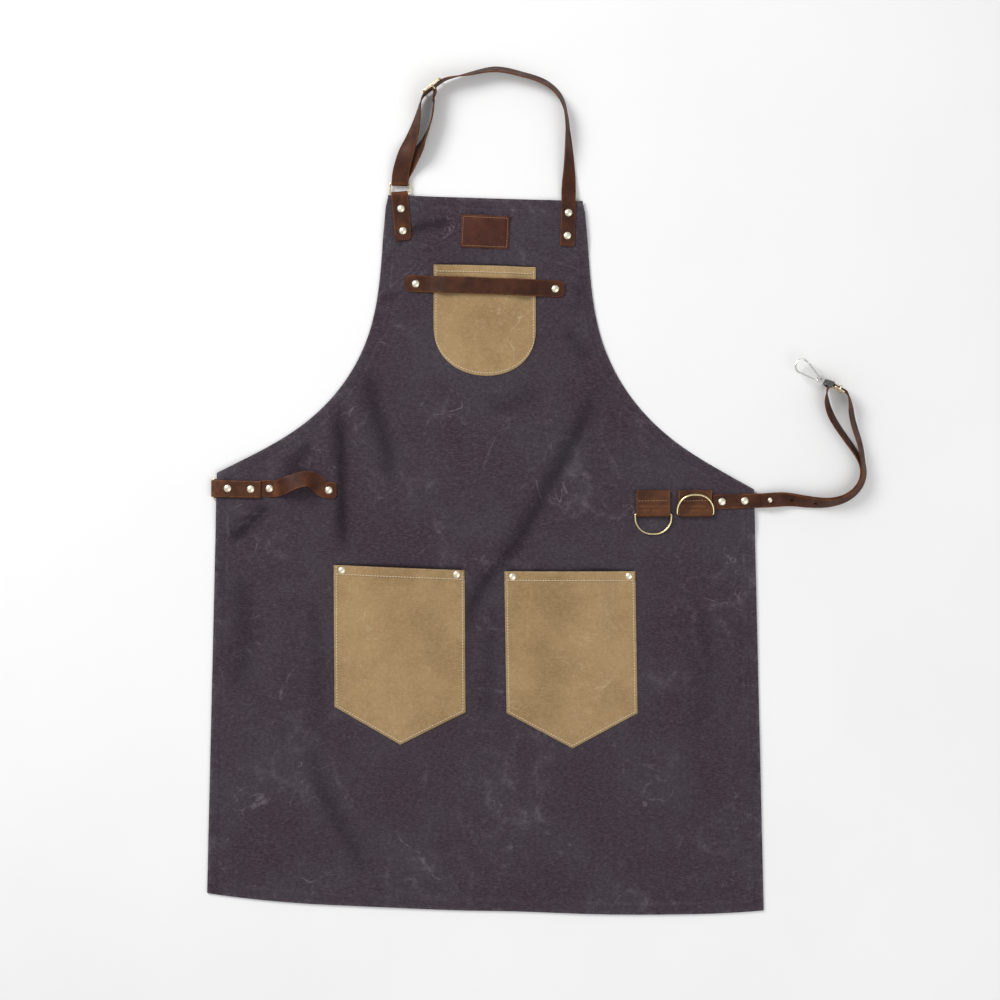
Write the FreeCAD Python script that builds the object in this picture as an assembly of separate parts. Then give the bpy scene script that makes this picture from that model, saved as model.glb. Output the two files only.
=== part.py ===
import FreeCAD, Part
import math
import os

# Butcher apron, laid flat: canvas front with leather straps, canvas pockets and brass fittings.
# Millimetres. +X to the right, +Y towards the bib, +Z up. The origin is the middle of the bottom hem,
# on the surface that the apron lies on.

V = FreeCAD.Vector
UP = V(0, 0, 1)
os.makedirs("parts", exist_ok=True)

# --- cloth ---
CLOTH = 0.8                # canvas thickness
BACK = 4.2                 # height of the canvas above the surface, over the hems and the hardware behind it
TOP = BACK + CLOTH         # front face of the canvas
SHEAR = 0.031              # the cloth lies pulled out of square: lower towards +X
BIB_HALF, BIB_TOP = 120.0, 871.0
WAIST_HALF, WAIST_Y = 328.0, 525.0
HEM_HALF, HEM_CORNER_Y = 340.0, 11.0
BIB_CORNER = 5.0           # rounding of the bib's two corners
ARMHOLE = [(128.6, 770), (141.5, 703), (170, 644), (224.5, 586), (281, 550)]  # half widths up the armhole
HEM_WIDTH = 12.0           # width of the turned edges

# --- pockets ---
POUCH = 6.0                # how far a pocket's mouth stands open
HIP_HALF, HIP_SIDE, HIP_POINT = 80.0, 173.0, 43.0
HIP_SEAM, HIP_SLOPE_IN = 14.0, 36.0
HIP_HEM, CHEST_HEM = 12.0, 9.0
CHEST_HALF, CHEST_SIDE, CHEST_DEPTH = 62.5, 74.0, 134.0
CHEST_SEAM, CHEST_SLOPE_IN = 6.0, 25.0

# --- leather ---
LEATHER = 1.8              # strap thickness
SKIVED = 1.2               # thickness where the leather is pared down to fold
STRAP = 20.4               # width of the tabs, and of the neck strap at its ring
NARROW = 17.6              # width of the waist strap, and of the neck strap where it is riveted to the bib
GAP = 0.3                  # clearance between neighbouring bodies
PITCH = LEATHER + GAP      # between the two layers of the doubled waist strap

# --- metal ---
WIRE = 1.2                 # radius of the ring wire
RUNNING = 0.05             # radial clearance of a wire in its fold or a pin in its hole
POST = 1.4                 # rivet post radius
CAP, CAP_HEIGHT = 4.5, 2.0
BACK_CAP, BACK_CAP_HEIGHT = 4.2, 1.2
D_HALF, D_HEIGHT = 22.1, 24.2      # D-ring, to the middle of the wire
RING_HALF = 12.0                   # small rings, to the middle of the wire
NECK_RING_HEIGHT, WAIST_RING_HEIGHT = 12.9, 19.0
SLIDER_WIRE = 1.1
SLIDER_HALF = 11.9
NECK_SLIDER_LENGTH, WAIST_SLIDER_LENGTH = 25.0, 13.0
NECK_SLIDER_WIRE = 1.3      # radius of the neck slider's heavier frame
SLIDER_CLEAR = 0.5

# --- places ---
NECK_BAR = V(-105.0, 876.6, BACK + CLOTH / 2)     # middle of the neck ring's held bar
NECK_BEND = V(101.6, 870.2, NECK_BAR.z)           # where the right end of the neck strap bends
EDGE_BEND = V(333.0, 501.5, TOP + LEATHER / 2)    # where the waist strap bends at the apron's edge
BEND_GAP = 4.2                                    # bare length on each side of a bend
D_TAB_HALF, D_BAR_Y, D_TAB_END = 20.6, 485.0, 514.4
D_TABS = {"inner": 205.0, "outer": 256.4}
WAIST_BAR = V(-332.8, 516.3, 2.55)
HOOK_Z = 13.3                                     # height of the hook's axis and of both sliders
HOOK_DIR = V(-0.86, 0.51, 0).normalize()
BOSS = V(409.0, 649.7, HOOK_Z)                    # middle of the hook's pivot boss
EYE_BAR = 14.0                                    # from the boss back to the bar that the strap turns on
STUD_AT = 10.0                                    # along the waist strap from its bend
ADJUSTING_HOLES = [38.3, 66.6]                    # the outer layer's two spare holes, from the bend
DOUBLED_TO = 10                                    # the inner layer's station where its two layers part
RIVETS = {
    "neck_tab_rivets": [(-103.3, 858.5), (-100.9, 831.4)],
    "neck_strap_rivets": [(101.6, 853.5), (100.2, 825.5)],
    "chest_strap_rivets": [(-85.3, 766.6), (85.4, 760.4)],
    "waist_tab_rivets": [(-315.1, 516.5), (-286.8, 515.6)],
    "towel_loop_rivets": [(-264.1, 516.3), (-191.6, 514.3)],
    "hip_pocket_rivets_left": [(-176.0, 416.4), (-35.0, 411.1)],
    "hip_pocket_rivets_right": [(33.0, 408.2), (175.7, 409.0)],
    "waist_strap_rivets": [(289.3, 500.2), (317.0, 501.2)],
}


# --- helpers ---

def save(name, *shapes):
    shape = shapes[0] if len(shapes) == 1 else Part.makeCompound(list(shapes))
    shape.exportStep(f"parts/{name}.step")
    return shape


def prism(points, low, high):
    """A flat outline, given as (x, y) points, raised between two heights."""
    wire = Part.makePolygon([V(x, y, low) for x, y in points + points[:1]])
    return Part.Face(wire).extrude(V(0, 0, high - low))


def across(profile, width):
    """A side profile, given as edges in the local XZ plane, made as wide as a strap along local Y."""
    solid = Part.Face(Part.Wire(profile)).extrude(V(0, width, 0))
    solid.translate(V(0, -width / 2, 0))
    return solid


def lines(*points):
    """Straight edges through local (x, z) points."""
    ends = [V(x, 0, z) for x, z in points]
    return [Part.makeLine(a, b) for a, b in zip(ends, ends[1:])]


def arc(*points):
    return Part.Arc(*[V(x, 0, z) for x, z in points]).toShape()


def place(shape, origin, x_axis, y_axis):
    """Moves a shape from its own axes to the apron's."""
    z_axis = x_axis.cross(y_axis)
    placed = shape.copy()
    turn = FreeCAD.Rotation(x_axis, y_axis, z_axis, "XYZ")
    placed.Placement = FreeCAD.Placement(origin, turn).multiply(shape.Placement)
    return placed


def round_uprights(solid, radius):
    edges = [e for e in solid.Edges if abs(e.tangentAt(e.FirstParameter).z) > 0.99]
    return solid.makeFillet(radius, edges)


def strip(start, end, width, low, high, radius):
    """A flat strap between two (x, y) points, with rounded corners."""
    run = V(end[0] - start[0], end[1] - start[1], 0)
    side = V(-run.y, run.x, 0).normalize() * (width / 2)
    a, b = V(*start, 0), V(*end, 0)
    corners = [(p.x, p.y) for p in (a + side, a - side, b - side, b + side)]
    return round_uprights(prism(corners, low, high), radius)


def holes(shape, places, low=0.0, high=20.0, radius=POST + RUNNING):
    for x, y in places:
        shape = shape.cut(Part.makeCylinder(radius, high - low, V(x, y, low)))
    return shape


def rivet(x, y, bottom, top):
    """A set rivet: flat back cap, post and domed cap, holding what lies between two heights."""
    low = bottom - BACK_CAP_HEIGHT
    back = Part.makeCylinder(BACK_CAP, BACK_CAP_HEIGHT, V(x, y, low))
    post = Part.makeCylinder(POST, top - low, V(x, y, low))
    ball = (CAP ** 2 + CAP_HEIGHT ** 2) / (2 * CAP_HEIGHT)
    dome = Part.makeSphere(ball, V(x, y, top + CAP_HEIGHT - ball))
    dome = dome.common(Part.makeCylinder(CAP + 1, CAP_HEIGHT + 1, V(x, y, top)))
    return back.multiFuse([post, dome]).removeSplitter()


def press_seats(shape, places, top):
    """Leather pressed flat under its rivets' caps."""
    return holes(shape, places, top, top + 20, CAP + 0.2)


def wire_ring(half, height, near_radius, far_radius, wire):
    """A closed wire ring. Its straight bar lies on local X; the far side is at local Y = height."""
    corners = [(V(-half, 0, 0), near_radius), (V(half, 0, 0), near_radius),
               (V(half, height, 0), far_radius), (V(-half, height, 0), far_radius)]
    edges = []
    ends = []
    for i, (corner, radius) in enumerate(corners):
        before = (corners[i - 1][0] - corner).normalize()
        after = (corners[(i + 1) % 4][0] - corner).normalize()
        centre = corner + (before + after) * radius
        middle = centre - (before + after).normalize() * radius
        ends.append((corner + before * radius, middle, corner + after * radius))
    for i, (first, middle, last) in enumerate(ends):
        edges.append(Part.Arc(first, middle, last).toShape())
        edges.append(Part.makeLine(last, ends[(i + 1) % 4][0]))
    path = Part.Wire(edges[-1:] + edges[:-1])
    start = path.Edges[0].valueAt(path.Edges[0].FirstParameter)
    direction = path.Edges[0].tangentAt(path.Edges[0].FirstParameter)
    section = Part.Wire(Part.makeCircle(wire, start, direction))
    return path.makePipeShell([section], True, False)


class Strap:
    """A flat strap along a smooth line. A station is (x, y, z, lean): lean is 0 where the strap lies
    flat, and 90 where it stands on its edge with its upper face to the right of its run. Its width
    changes evenly from end to end."""

    def __init__(self, stations, widths=(STRAP, STRAP)):
        self.widths = widths
        self.curve = Part.BSplineCurve()
        self.curve.interpolate([V(*s[:3]) for s in stations])
        self.knots = [self.curve.parameter(V(*s[:3])) for s in stations]
        self.leans = [s[3] for s in stations]
        self.length = self.curve.length()

    def at(self, u):
        """Middle, run, width and face directions at a parameter."""
        i = max(k for k in range(len(self.knots) - 1) if self.knots[k] <= u + 1e-9)
        part = (u - self.knots[i]) / (self.knots[i + 1] - self.knots[i])
        lean = math.radians(self.leans[i] + (self.leans[i + 1] - self.leans[i]) * part)
        run = self.curve.tangent(u)[0]
        right = run.cross(UP).normalize()
        above = right.cross(run)
        across_run = right * math.cos(lean) - above * math.sin(lean)
        face = above * math.cos(lean) + right * math.sin(lean)
        return self.curve.value(u), run, across_run, face

    def along(self, distance):
        return self.at(self.curve.parameterAtDistance(distance, self.knots[0]))

    def spread(self, first=0, last=None, longest=9.0):
        """Parameters between two of the strap's stations, no further apart than a length."""
        last = len(self.knots) - 1 if last is None else last
        spots = []
        for i in range(first, last):
            span = self.curve.length(self.knots[i], self.knots[i + 1])
            count = max(1, math.ceil(span / longest))
            step = (self.knots[i + 1] - self.knots[i]) / count
            spots += [self.knots[i] + step * k for k in range(count)]
        return spots + [self.knots[last]]

    def section(self, u, lift=0.0, upside=1):
        """The strap's section, lifted off its middle along its face, and drawn from either side."""
        middle, _, side, face = self.at(u)
        middle = middle + face * lift
        part = (u - self.knots[0]) / (self.knots[-1] - self.knots[0])
        side = side * ((self.widths[0] + (self.widths[1] - self.widths[0]) * part) / 2)
        face = face * (upside * LEATHER / 2)
        corners = [middle + side + face, middle - side + face, middle - side - face, middle + side - face]
        return Part.makePolygon(corners + corners[:1])

    def solid(self, first=0, last=None, longest=9.0):
        """The strap between two of its stations, in flat-sided lengths."""
        return Part.makeLoft([self.section(u) for u in self.spread(first, last, longest)], True, True)


# --- canvas front and its turned edges ---

def sheared(x, y):
    return V(x, y - SHEAR * x, BACK)


def spline(points):
    curve = Part.BSplineCurve()
    curve.interpolate(points)
    return curve.toShape()


def front_outline():
    """The apron's outline: bib, armholes, sides that flare, and a bottom edge that dips."""
    def armhole(sign):
        points = [(BIB_HALF + 5.0, 815.0)] + ARMHOLE + [(WAIST_HALF, WAIST_Y)]
        return [sheared(sign * x, y) for x, y in points]

    right, left = armhole(1), armhole(-1)
    top_right, top_left = sheared(BIB_HALF, BIB_TOP), sheared(-BIB_HALF, BIB_TOP)
    low_right, low_left = sheared(HEM_HALF, HEM_CORNER_Y), sheared(-HEM_HALF, HEM_CORNER_Y)
    bottom = [low_right, sheared(200, 1.5), sheared(0, 0), sheared(-200, 1.5), low_left]
    return Part.Wire([
        Part.makeLine(top_left, top_right), Part.makeLine(top_right, right[0]), spline(right),
        Part.makeLine(right[-1], low_right), spline(bottom), Part.makeLine(low_left, left[-1]),
        spline(left[::-1]), Part.makeLine(left[0], top_left)])


def apron_panel(face):
    panel = face.extrude(V(0, 0, CLOTH))
    corners = [e for e in panel.Edges if abs(e.tangentAt(e.FirstParameter).z) > 0.99
               and e.CenterOfMass.y > BIB_TOP - 10]
    panel = panel.makeFillet(BIB_CORNER, corners)
    return holes(panel, [p for places in RIVETS.values() for p in places])


def band(low, high, left=-400.0, right=400.0):
    """A block between two heights up the apron, following the cloth's pull."""
    corners = [(left, low), (right, low), (right, high), (left, high)]
    return prism([(x, y - SHEAR * x) for x, y in corners], -1, BACK + 1)


def drawn_in(points, distance):
    """A closed clockwise outline of points, moved inwards."""
    inner = []
    for before, here, after in zip(points[-1:] + points[:-1], points, points[1:] + points[:1]):
        arriving, leaving = (here - before).normalize(), (after - here).normalize()
        inward = (arriving + leaving).cross(UP) * 0.5
        inner.append(here + inward * (distance / inward.dot(inward)))
    return inner


def turned_edges(outline):
    """The hems behind the canvas, in short straights that follow its outline, butted at the corners."""
    rim = []
    for edge in outline.OrderedEdges:
        points = edge.discretize(2 if edge.Curve.TypeId == "Part::GeomLine" else 16)
        if rim and rim[-1].distanceToPoint(points[0]) > rim[-1].distanceToPoint(points[-1]):
            points.reverse()
        rim += points[:-1]
    rim = [V(p.x, p.y, 0) for p in rim]
    outer, inner = [prism([(p.x, p.y) for p in points], 0, BACK)
                    for points in (rim, drawn_in(rim, HEM_WIDTH))]
    ring = outer.cut(inner)
    waist, shoulder = WAIST_Y - 6.0, BIB_TOP - HEM_WIDTH
    foot = HEM_CORNER_Y + HEM_WIDTH + 1.0
    bands = {
        "bottom_hem": band(-30, foot),
        "side_hem_left": band(foot, waist, right=0),
        "side_hem_right": band(foot, waist, left=0),
        "armhole_hem_left": band(waist, shoulder, right=0),
        "armhole_hem_right": band(waist, shoulder, left=0),
        "bib_hem": band(shoulder, BIB_TOP + 20),
    }
    for name, block in bands.items():
        edge = ring.common(block).cut(hem_clearance())
        edge = holes(edge, [p for group in RIVETS.values() for p in group], -1, BACK + 1, BACK_CAP + GAP)
        save(name, max(edge.Solids, key=lambda solid: solid.Volume))


# --- pockets ---

def pouch(outline, seam, slope_in, mouth):
    """An open pocket: a flat seam round three sides, slopes up from it, and a raised front. outline(inset)
    gives the pocket's (x, y) points, drawn in by an inset and running past the mouth; mouth is the block
    that the pocket keeps."""
    def hood(lift):
        low = [V(x, y, TOP + lift) for x, y in outline(seam)]
        high = [V(x, y, TOP + lift + POUCH) for x, y in outline(slope_in)]
        wires = [Part.makePolygon(w + w[:1]) for w in (low, high)]
        return Part.makeLoft(wires, True, True)

    flat = prism(outline(0), TOP, TOP + CLOTH).cut(prism(outline(seam), TOP, TOP + CLOTH))
    raised = hood(CLOTH).fuse(prism(outline(seam), TOP, TOP + CLOTH)).cut(hood(0))
    return flat.fuse(raised).removeSplitter().common(mouth)


def hip_pocket(name, centre, top, slope, lean):
    """A five-sided hip pocket. slope tips its mouth, lean its sides."""
    def to_apron(u, v):
        return centre + u + lean * v, top + v + slope * u

    def outline(inset):
        half = HIP_HALF - inset
        tip = HIP_SIDE + HIP_POINT - inset * 1.14
        side = HIP_SIDE - inset * 0.6
        return [to_apron(u, v) for u, v in
                ((-half, 30), (-half, -side), (0, -tip), (half, -side), (half, 30))]

    reach = HIP_HALF + 20
    keep = prism([to_apron(u, v) for u, v in ((-reach, 0), (-reach, -260), (reach, -260), (reach, 0))], 0, 40)
    pocket = pouch(outline, HIP_SEAM, HIP_SLOPE_IN, keep)
    half = HIP_HALF - HIP_SLOPE_IN
    hem = [to_apron(u, v) for u, v in ((-half, 0), (-half, -HIP_HEM), (half, -HIP_HEM), (half, 0))]
    save(f"hip_pocket_{name}", holes(pocket, RIVETS[f"hip_pocket_rivets_{name}"]))
    save(f"hip_pocket_{name}_hem", prism(hem, TOP + POUCH - CLOTH, TOP + POUCH))


def chest_pocket():
    """The U-shaped chest pocket: straight sides over a rounded foot of eight short straights."""
    mouth = 788.3
    slope = -0.028

    def outline(inset):
        half = CHEST_HALF - inset
        points = [(-half, 30.0)]
        for k in range(9):
            turn = math.pi * k / 8
            points.append((-half * math.cos(turn), -CHEST_SIDE - (CHEST_DEPTH - CHEST_SIDE - inset)
                           * math.sin(turn) ** 0.85))
        points.append((half, 30.0))
        return [(x - 0.9, mouth + y + slope * x) for x, y in points]

    keep = prism([(-80, mouth + slope * -80), (-80, 600), (80, 600), (80, mouth + slope * 80)], 0, 40)
    save("chest_pocket", pouch(outline, CHEST_SEAM, CHEST_SLOPE_IN, keep))
    half = CHEST_HALF - CHEST_SLOPE_IN
    hem = [(x - 0.9, mouth + y + slope * x) for x, y in
           ((-half, 0), (-half, -CHEST_HEM), (half, -CHEST_HEM), (half, 0))]
    save("chest_pocket_hem", prism(hem, TOP + POUCH - CLOTH, TOP + POUCH))


# --- leather on the front ---

def patch():
    plate = round_uprights(prism([(-29.6, -20), (29.6, -20), (29.6, 20), (-29.6, 20)], 0, 1.6), 2.0)
    turn = math.radians(-2.5)
    save("leather_patch", place(plate, V(-0.5, 830.2, TOP), V(math.cos(turn), math.sin(turn), 0),
                                V(-math.sin(turn), math.cos(turn), 0)))


def chest_tool_strap():
    """A strap across the chest pocket, riveted at its ends and lying over the pocket's front."""
    flat, crest = TOP + LEATHER / 2, TOP + CLOTH + POUCH + GAP + LEATHER / 2
    stations = [(-98.6, 767.2, flat, 0), (-88, 766.8, flat, 0), (-77, 766.4, flat, 0),
                (-60, 765.8, crest - 3.4, 0), (-44, 765.2, crest, 0), (0, 763.6, crest + 0.2, 0),
                (44, 762.0, crest, 0), (60, 761.4, crest - 3.4, 0), (77, 760.8, flat, 0),
                (88, 760.4, flat, 0), (96.8, 760.1, flat, 0)]
    plan = strip(stations[0][:2], stations[-1][:2], STRAP, TOP, 40, 6.0)
    strap = Strap(stations).solid().common(plan)
    strap = press_seats(strap, RIVETS["chest_strap_rivets"], TOP + LEATHER)
    save("chest_tool_strap", holes(strap, RIVETS["chest_strap_rivets"]))


def towel_loop():
    """A strap that bows out of the apron and leans towards the bib, for a towel."""
    flat = TOP + LEATHER / 2
    stations = [(-274.0, 516.7, flat, 0), (-264.0, 516.3, flat, 0), (-256.5, 516.2, flat + 0.3, -2),
                (-247.5, 519.0, flat + 6.5, -12), (-232.0, 525.0, flat + 13.0, -24),
                (-216.0, 527.8, flat + 12.5, -24), (-205.0, 522.5, flat + 6.0, -12),
                (-198.5, 515.6, flat + 0.3, -2), (-191.6, 514.3, flat, 0), (-182.0, 513.9, flat, 0)]
    above_canvas = prism([(-300, 450), (-150, 450), (-150, 600), (-300, 600)], TOP, TOP + 50)
    strap = Strap(stations).solid(longest=5.0).common(above_canvas)
    strap = press_seats(strap, RIVETS["towel_loop_rivets"], TOP + LEATHER)
    save("towel_loop", holes(strap, RIVETS["towel_loop_rivets"]))


def bar_axes():
    """The neck loop's hinge line, and the direction square to it in the apron's plane."""
    along = (NECK_BEND - NECK_BAR).normalize()
    return along, UP.cross(along)


def neck_tab():
    """A strap folded round the neck ring's bar and held on both faces of the canvas, a little off square."""
    outer, half, length, flare = WIRE + RUNNING + LEATHER, CLOTH / 2 + LEATHER, 57.0, 14.0
    edges = lines((0, outer), (-flare, half), (-length, half), (-length, -half), (-flare, -half), (0, -outer))
    edges.append(arc((0, -outer), (outer, 0), (0, outer)))
    (top_x, top_y), (low_x, low_y) = RIVETS["neck_tab_rivets"]
    up_tab = V(top_x - low_x, top_y - low_y, 0).normalize()
    tab = place(across(edges, STRAP), NECK_BAR, up_tab, UP.cross(up_tab))
    edge = [(x, BIB_TOP - SHEAR * x + GAP) for x in (NECK_BAR.x + 30, NECK_BAR.x - 30)]
    tab = tab.cut(prism([(edge[1][0], 700), (edge[0][0], 700)] + edge, BACK, TOP))
    along, _ = bar_axes()
    tab = tab.cut(Part.makeCylinder(WIRE + RUNNING, 60, NECK_BAR - along * 30, along))
    save("neck_tab", holes(tab, RIVETS["neck_tab_rivets"], low=-1))


def hem_clearance():
    """Room in the hems for the back of the neck tab, and for the waist ring where it lies behind the edge."""
    tab, ring = STRAP / 2 + 1.5, RING_HALF + WIRE + 1.5
    behind_tab = prism([(NECK_BAR.x - tab, 815), (NECK_BAR.x + tab, 815),
                        (NECK_BAR.x + tab, 885), (NECK_BAR.x - tab, 885)], -1, BACK + 1)
    behind_edge = prism([(WAIST_BAR.x - 10, WAIST_BAR.y - ring), (WAIST_BAR.x + 30, WAIST_BAR.y - ring),
                         (WAIST_BAR.x + 30, WAIST_BAR.y + ring), (WAIST_BAR.x - 10, WAIST_BAR.y + ring)],
                        -1, BACK + 1)
    return behind_tab.fuse(behind_edge)


def waist_tab():
    """The left tab: two layers on the canvas that reach over its edge and fold round the waist ring's bar."""
    hole = WIRE + RUNNING
    fold = hole + SKIVED
    high, low = TOP + 2 * LEATHER - WAIST_BAR.z, TOP - WAIST_BAR.z
    end = 58.4
    edges = lines((fold, 0), (fold, low), (end, low), (end, high), (3.0, high), (-fold, 2.2), (-fold, 0))
    edges.append(arc((-fold, 0), (0, -fold), (fold, 0)))
    tab = across(edges, STRAP)
    tab = tab.cut(Part.makeCylinder(hole, STRAP + 2, V(0, -STRAP / 2 - 1, 0), V(0, 1, 0)))
    tab = place(tab, WAIST_BAR, V(1, 0, 0), V(0, 1, 0))
    save("waist_tab", holes(tab, RIVETS["waist_tab_rivets"], low=TOP - 1))


def d_ring_tab(name, x):
    """A folded tab stitched to the canvas, with the D-ring's bar in its fold."""
    hole = WIRE + RUNNING
    fold = hole + LEATHER
    top = 2 * LEATHER - fold
    end = D_TAB_END - D_BAR_Y
    edges = lines((0, -fold), (end, -fold), (end, top), (9.0, top), (0, fold))
    edges.append(arc((0, fold), (-fold, 0), (0, -fold)))
    tab = across(edges, 2 * D_TAB_HALF)
    tab = tab.cut(Part.makeCylinder(hole, 2 * D_TAB_HALF + 2, V(0, -D_TAB_HALF - 1, 0), V(0, 1, 0)))
    save(f"d_ring_tab_{name}", place(tab, V(x, D_BAR_Y, TOP + fold), V(0, 1, 0), V(-1, 0, 0)))


def flat_straps():
    """The two strap ends that lie riveted to the canvas, up to where each bends."""
    neck = strip((99.9, 812.7), (101.6, NECK_BEND.y - BEND_GAP), NARROW, TOP, TOP + LEATHER, 3.0)
    save("neck_strap_anchor", holes(neck, RIVETS["neck_strap_rivets"]))
    waist = strip((278.7, 500.0), (EDGE_BEND.x - BEND_GAP, 501.4), NARROW, TOP, TOP + LEATHER, 2.0)
    save("waist_strap_anchor", holes(waist, RIVETS["waist_strap_rivets"]))


def rivets():
    tops = {"waist_tab_rivets": TOP + 2 * LEATHER, "hip_pocket_rivets_left": TOP + CLOTH,
            "hip_pocket_rivets_right": TOP + CLOTH}
    bottoms = {"neck_tab_rivets": BACK - LEATHER}
    for name, places in RIVETS.items():
        top, bottom = tops.get(name, TOP + LEATHER), bottoms.get(name, BACK)
        save(name, *[rivet(x, y, bottom, top) for x, y in places])


# --- rings ---

def d_ring(name, x, swing):
    """A D-ring in its tab's fold. swing is the ring's direction in the YZ plane, in degrees from +Y."""
    ring = wire_ring(D_HALF, D_HEIGHT, 1.5, 20.0, WIRE)
    turn = math.radians(swing)
    bar = V(x, D_BAR_Y, TOP + WIRE + RUNNING + LEATHER)
    save(f"d_ring_{name}", place(ring, bar, V(1, 0, 0), V(0, math.cos(turn), math.sin(turn))))


def rings():
    d_ring("inner", D_TABS["inner"], 180 + 3.7)
    d_ring("outer", D_TABS["outer"], 13.0)
    along, up_bib = bar_axes()
    neck = wire_ring(RING_HALF, NECK_RING_HEIGHT, 1.7, 1.7, WIRE)
    save("neck_ring", place(neck, NECK_BAR, along, up_bib))
    waist = wire_ring(RING_HALF, WAIST_RING_HEIGHT, 1.7, 8.0, WIRE)
    droop = math.asin((WAIST_BAR.z - WIRE - RUNNING) / WAIST_RING_HEIGHT)
    save("waist_ring", place(waist, WAIST_BAR, V(0, -1, 0), V(math.cos(droop), 0, -math.sin(droop))))


# --- sliders ---

def slider(name, middle, run, face, bar_drop, length, wire):
    """A two-bar slider round an upright strap: a wire frame over the strap's face, and a centre bar
    that drops past the strap's edges and crosses behind it."""
    rise = LEATHER / 2 + SLIDER_CLEAR + wire
    frame = wire_ring(SLIDER_HALF, length, 2.2, 2.2, wire)
    frame = place(frame, middle + face * rise - run * (length / 2), UP, run)
    save(f"{name}_frame", frame)
    drop = rise + bar_drop
    post = Part.makeCylinder(SLIDER_WIRE, drop - SLIDER_WIRE - wire, V(0, 0, wire), UP)
    bar = Part.makeCylinder(SLIDER_WIRE, 2 * SLIDER_HALF, V(-SLIDER_HALF, 0, drop), V(1, 0, 0))
    posts = []
    for sign in (-1, 1):
        corner = V(sign * SLIDER_HALF, 0, drop)
        foot = post.copy()
        foot.translate(V(sign * SLIDER_HALF, 0, 0))
        elbow = Part.makeSphere(SLIDER_WIRE, corner)
        reach = Part.makeCylinder(SLIDER_WIRE, SLIDER_WIRE, V(corner.x, 0, drop - SLIDER_WIRE), UP)
        posts += [foot, reach, elbow]
    whole = bar.multiFuse(posts).removeSplitter()
    save(f"{name}_bar", place(whole, middle + face * rise, UP, UP.cross(face) * -1))


# --- neck loop ---

SLIDER_RUN = V(-0.79, -0.613, 0).normalize()      # the neck strap's direction through its slider
NECK_SLIDER = V(-63.8, 1005.0, HOOK_Z)
# from the strap's middle to the bar its end folds round
END_BAR_DROP = LEATHER / 2 + GAP + SKIVED + RUNNING + SLIDER_WIRE
END_RUN = V(-0.12, -0.99, 0).normalize()
END_LENGTH, END_RIVET = 14.0, 9.5
RING_LIFT = WIRE + GAP + LEATHER / 2              # ring wire's middle to the middle of the strap round it


def neck_strap():
    """From the bend at the bib's right, over the top of the loop, through the slider and round the ring."""
    along, up_bib = bar_axes()
    far_bar = NECK_BAR + up_bib * NECK_RING_HEIGHT
    through = [NECK_SLIDER + SLIDER_RUN * d for d in (-14, 0, 14)]
    stations = [
        (101.6, NECK_BEND.y + BEND_GAP, TOP + LEATHER / 2, 0), (102.0, 890, 5.9, 18), (102.3, 906.5, 7.4, 38),
        (101.9, 930, 9.2, 57), (100.6, 955, 10.5, 75), (98.0, 977, 10.8, 79), (90.5, 996, 10.6, 70),
        (73.0, 1012, 10.3, 64), (44.7, 1022, 10.1, 64), (11.6, 1028, 10.2, 62), (-19, 1022.5, 11.0, 72),
        (-40.0, 1018, 12.6, 84)]
    stations += [(p.x, p.y, p.z, 90) for p in through]
    stations += [(-80.5, 981.0, 12.4, 80), (-84.5, 962, 10.8, 60), (-91.5, 940, 10.2, 38),
                 (-95.2, 930, 10.5, 21), (-98.6, 920, 10.6, 8), (-101.8, 909, 9.4, 2), (-103.9, 899, 7.6, 0),
                 (far_bar.x, far_bar.y, far_bar.z + RING_LIFT, 0)]
    inner, outer = RING_LIFT - LEATHER / 2, RING_LIFT + LEATHER / 2
    turn = [arc((0, outer), (outer, 0), (0, -outer)), *lines((0, -outer), (0, -inner)),
            arc((0, -inner), (inner, 0), (0, inner)), *lines((0, inner), (0, outer))]
    turn = place(across(turn, STRAP), far_bar, up_bib * -1, along)
    save("neck_strap", Strap(stations, (NARROW, STRAP)).solid().fuse(turn))
    back = [(far_bar.x, far_bar.y, far_bar.z - RING_LIFT, 180), (-103.2, 898.0, 2.3, 179),
            (-97.0, 909.0, 3.8, 166), (-89.5, 920.0, 6.0, 150), (-81.3, 930.0, 9.1, 125),
            (-75.6, 941.0, 10.9, 106), (-67.5, 961.0, 12.0, 94), (-63.6, 981.5, HOOK_Z, 90)]
    save("neck_strap_return", Strap(back).solid().cut(turn))


def neck_strap_end():
    """The strap's end, folded round the slider's centre bar and closed with a small rivet."""
    hole = SLIDER_WIRE + RUNNING
    fold = hole + SKIVED
    closed = 5.0
    edges = lines((0, fold), (closed, SKIVED), (END_LENGTH, SKIVED), (END_LENGTH, -SKIVED), (closed, -SKIVED),
                  (0, -fold))
    edges.append(arc((0, -fold), (-fold, 0), (0, fold)))
    end = across(edges, STRAP)
    end = end.cut(Part.makeCylinder(hole, STRAP + 2, V(0, -STRAP / 2 - 1, 0), V(0, 1, 0)))
    end = end.cut(Part.makeCylinder(POST + RUNNING, 20, V(END_RIVET, 0, -10)))
    inward = SLIDER_RUN.cross(UP) * -1
    bar = NECK_SLIDER + inward * END_BAR_DROP
    save("neck_strap_end", place(end, bar, END_RUN, UP))
    cap, cap_height = 3.0, 0.9
    outside = SKIVED + cap_height
    post = Part.makeCylinder(POST, 2 * outside, V(0, 0, -outside))
    caps = [Part.makeCylinder(cap, cap_height, V(0, 0, z)) for z in (SKIVED, -outside)]
    set_rivet = post.multiFuse(caps).removeSplitter()
    save("neck_strap_end_rivet", place(set_rivet, bar + END_RUN * END_RIVET, END_RUN, UP))


# --- waist strap ---

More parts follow.
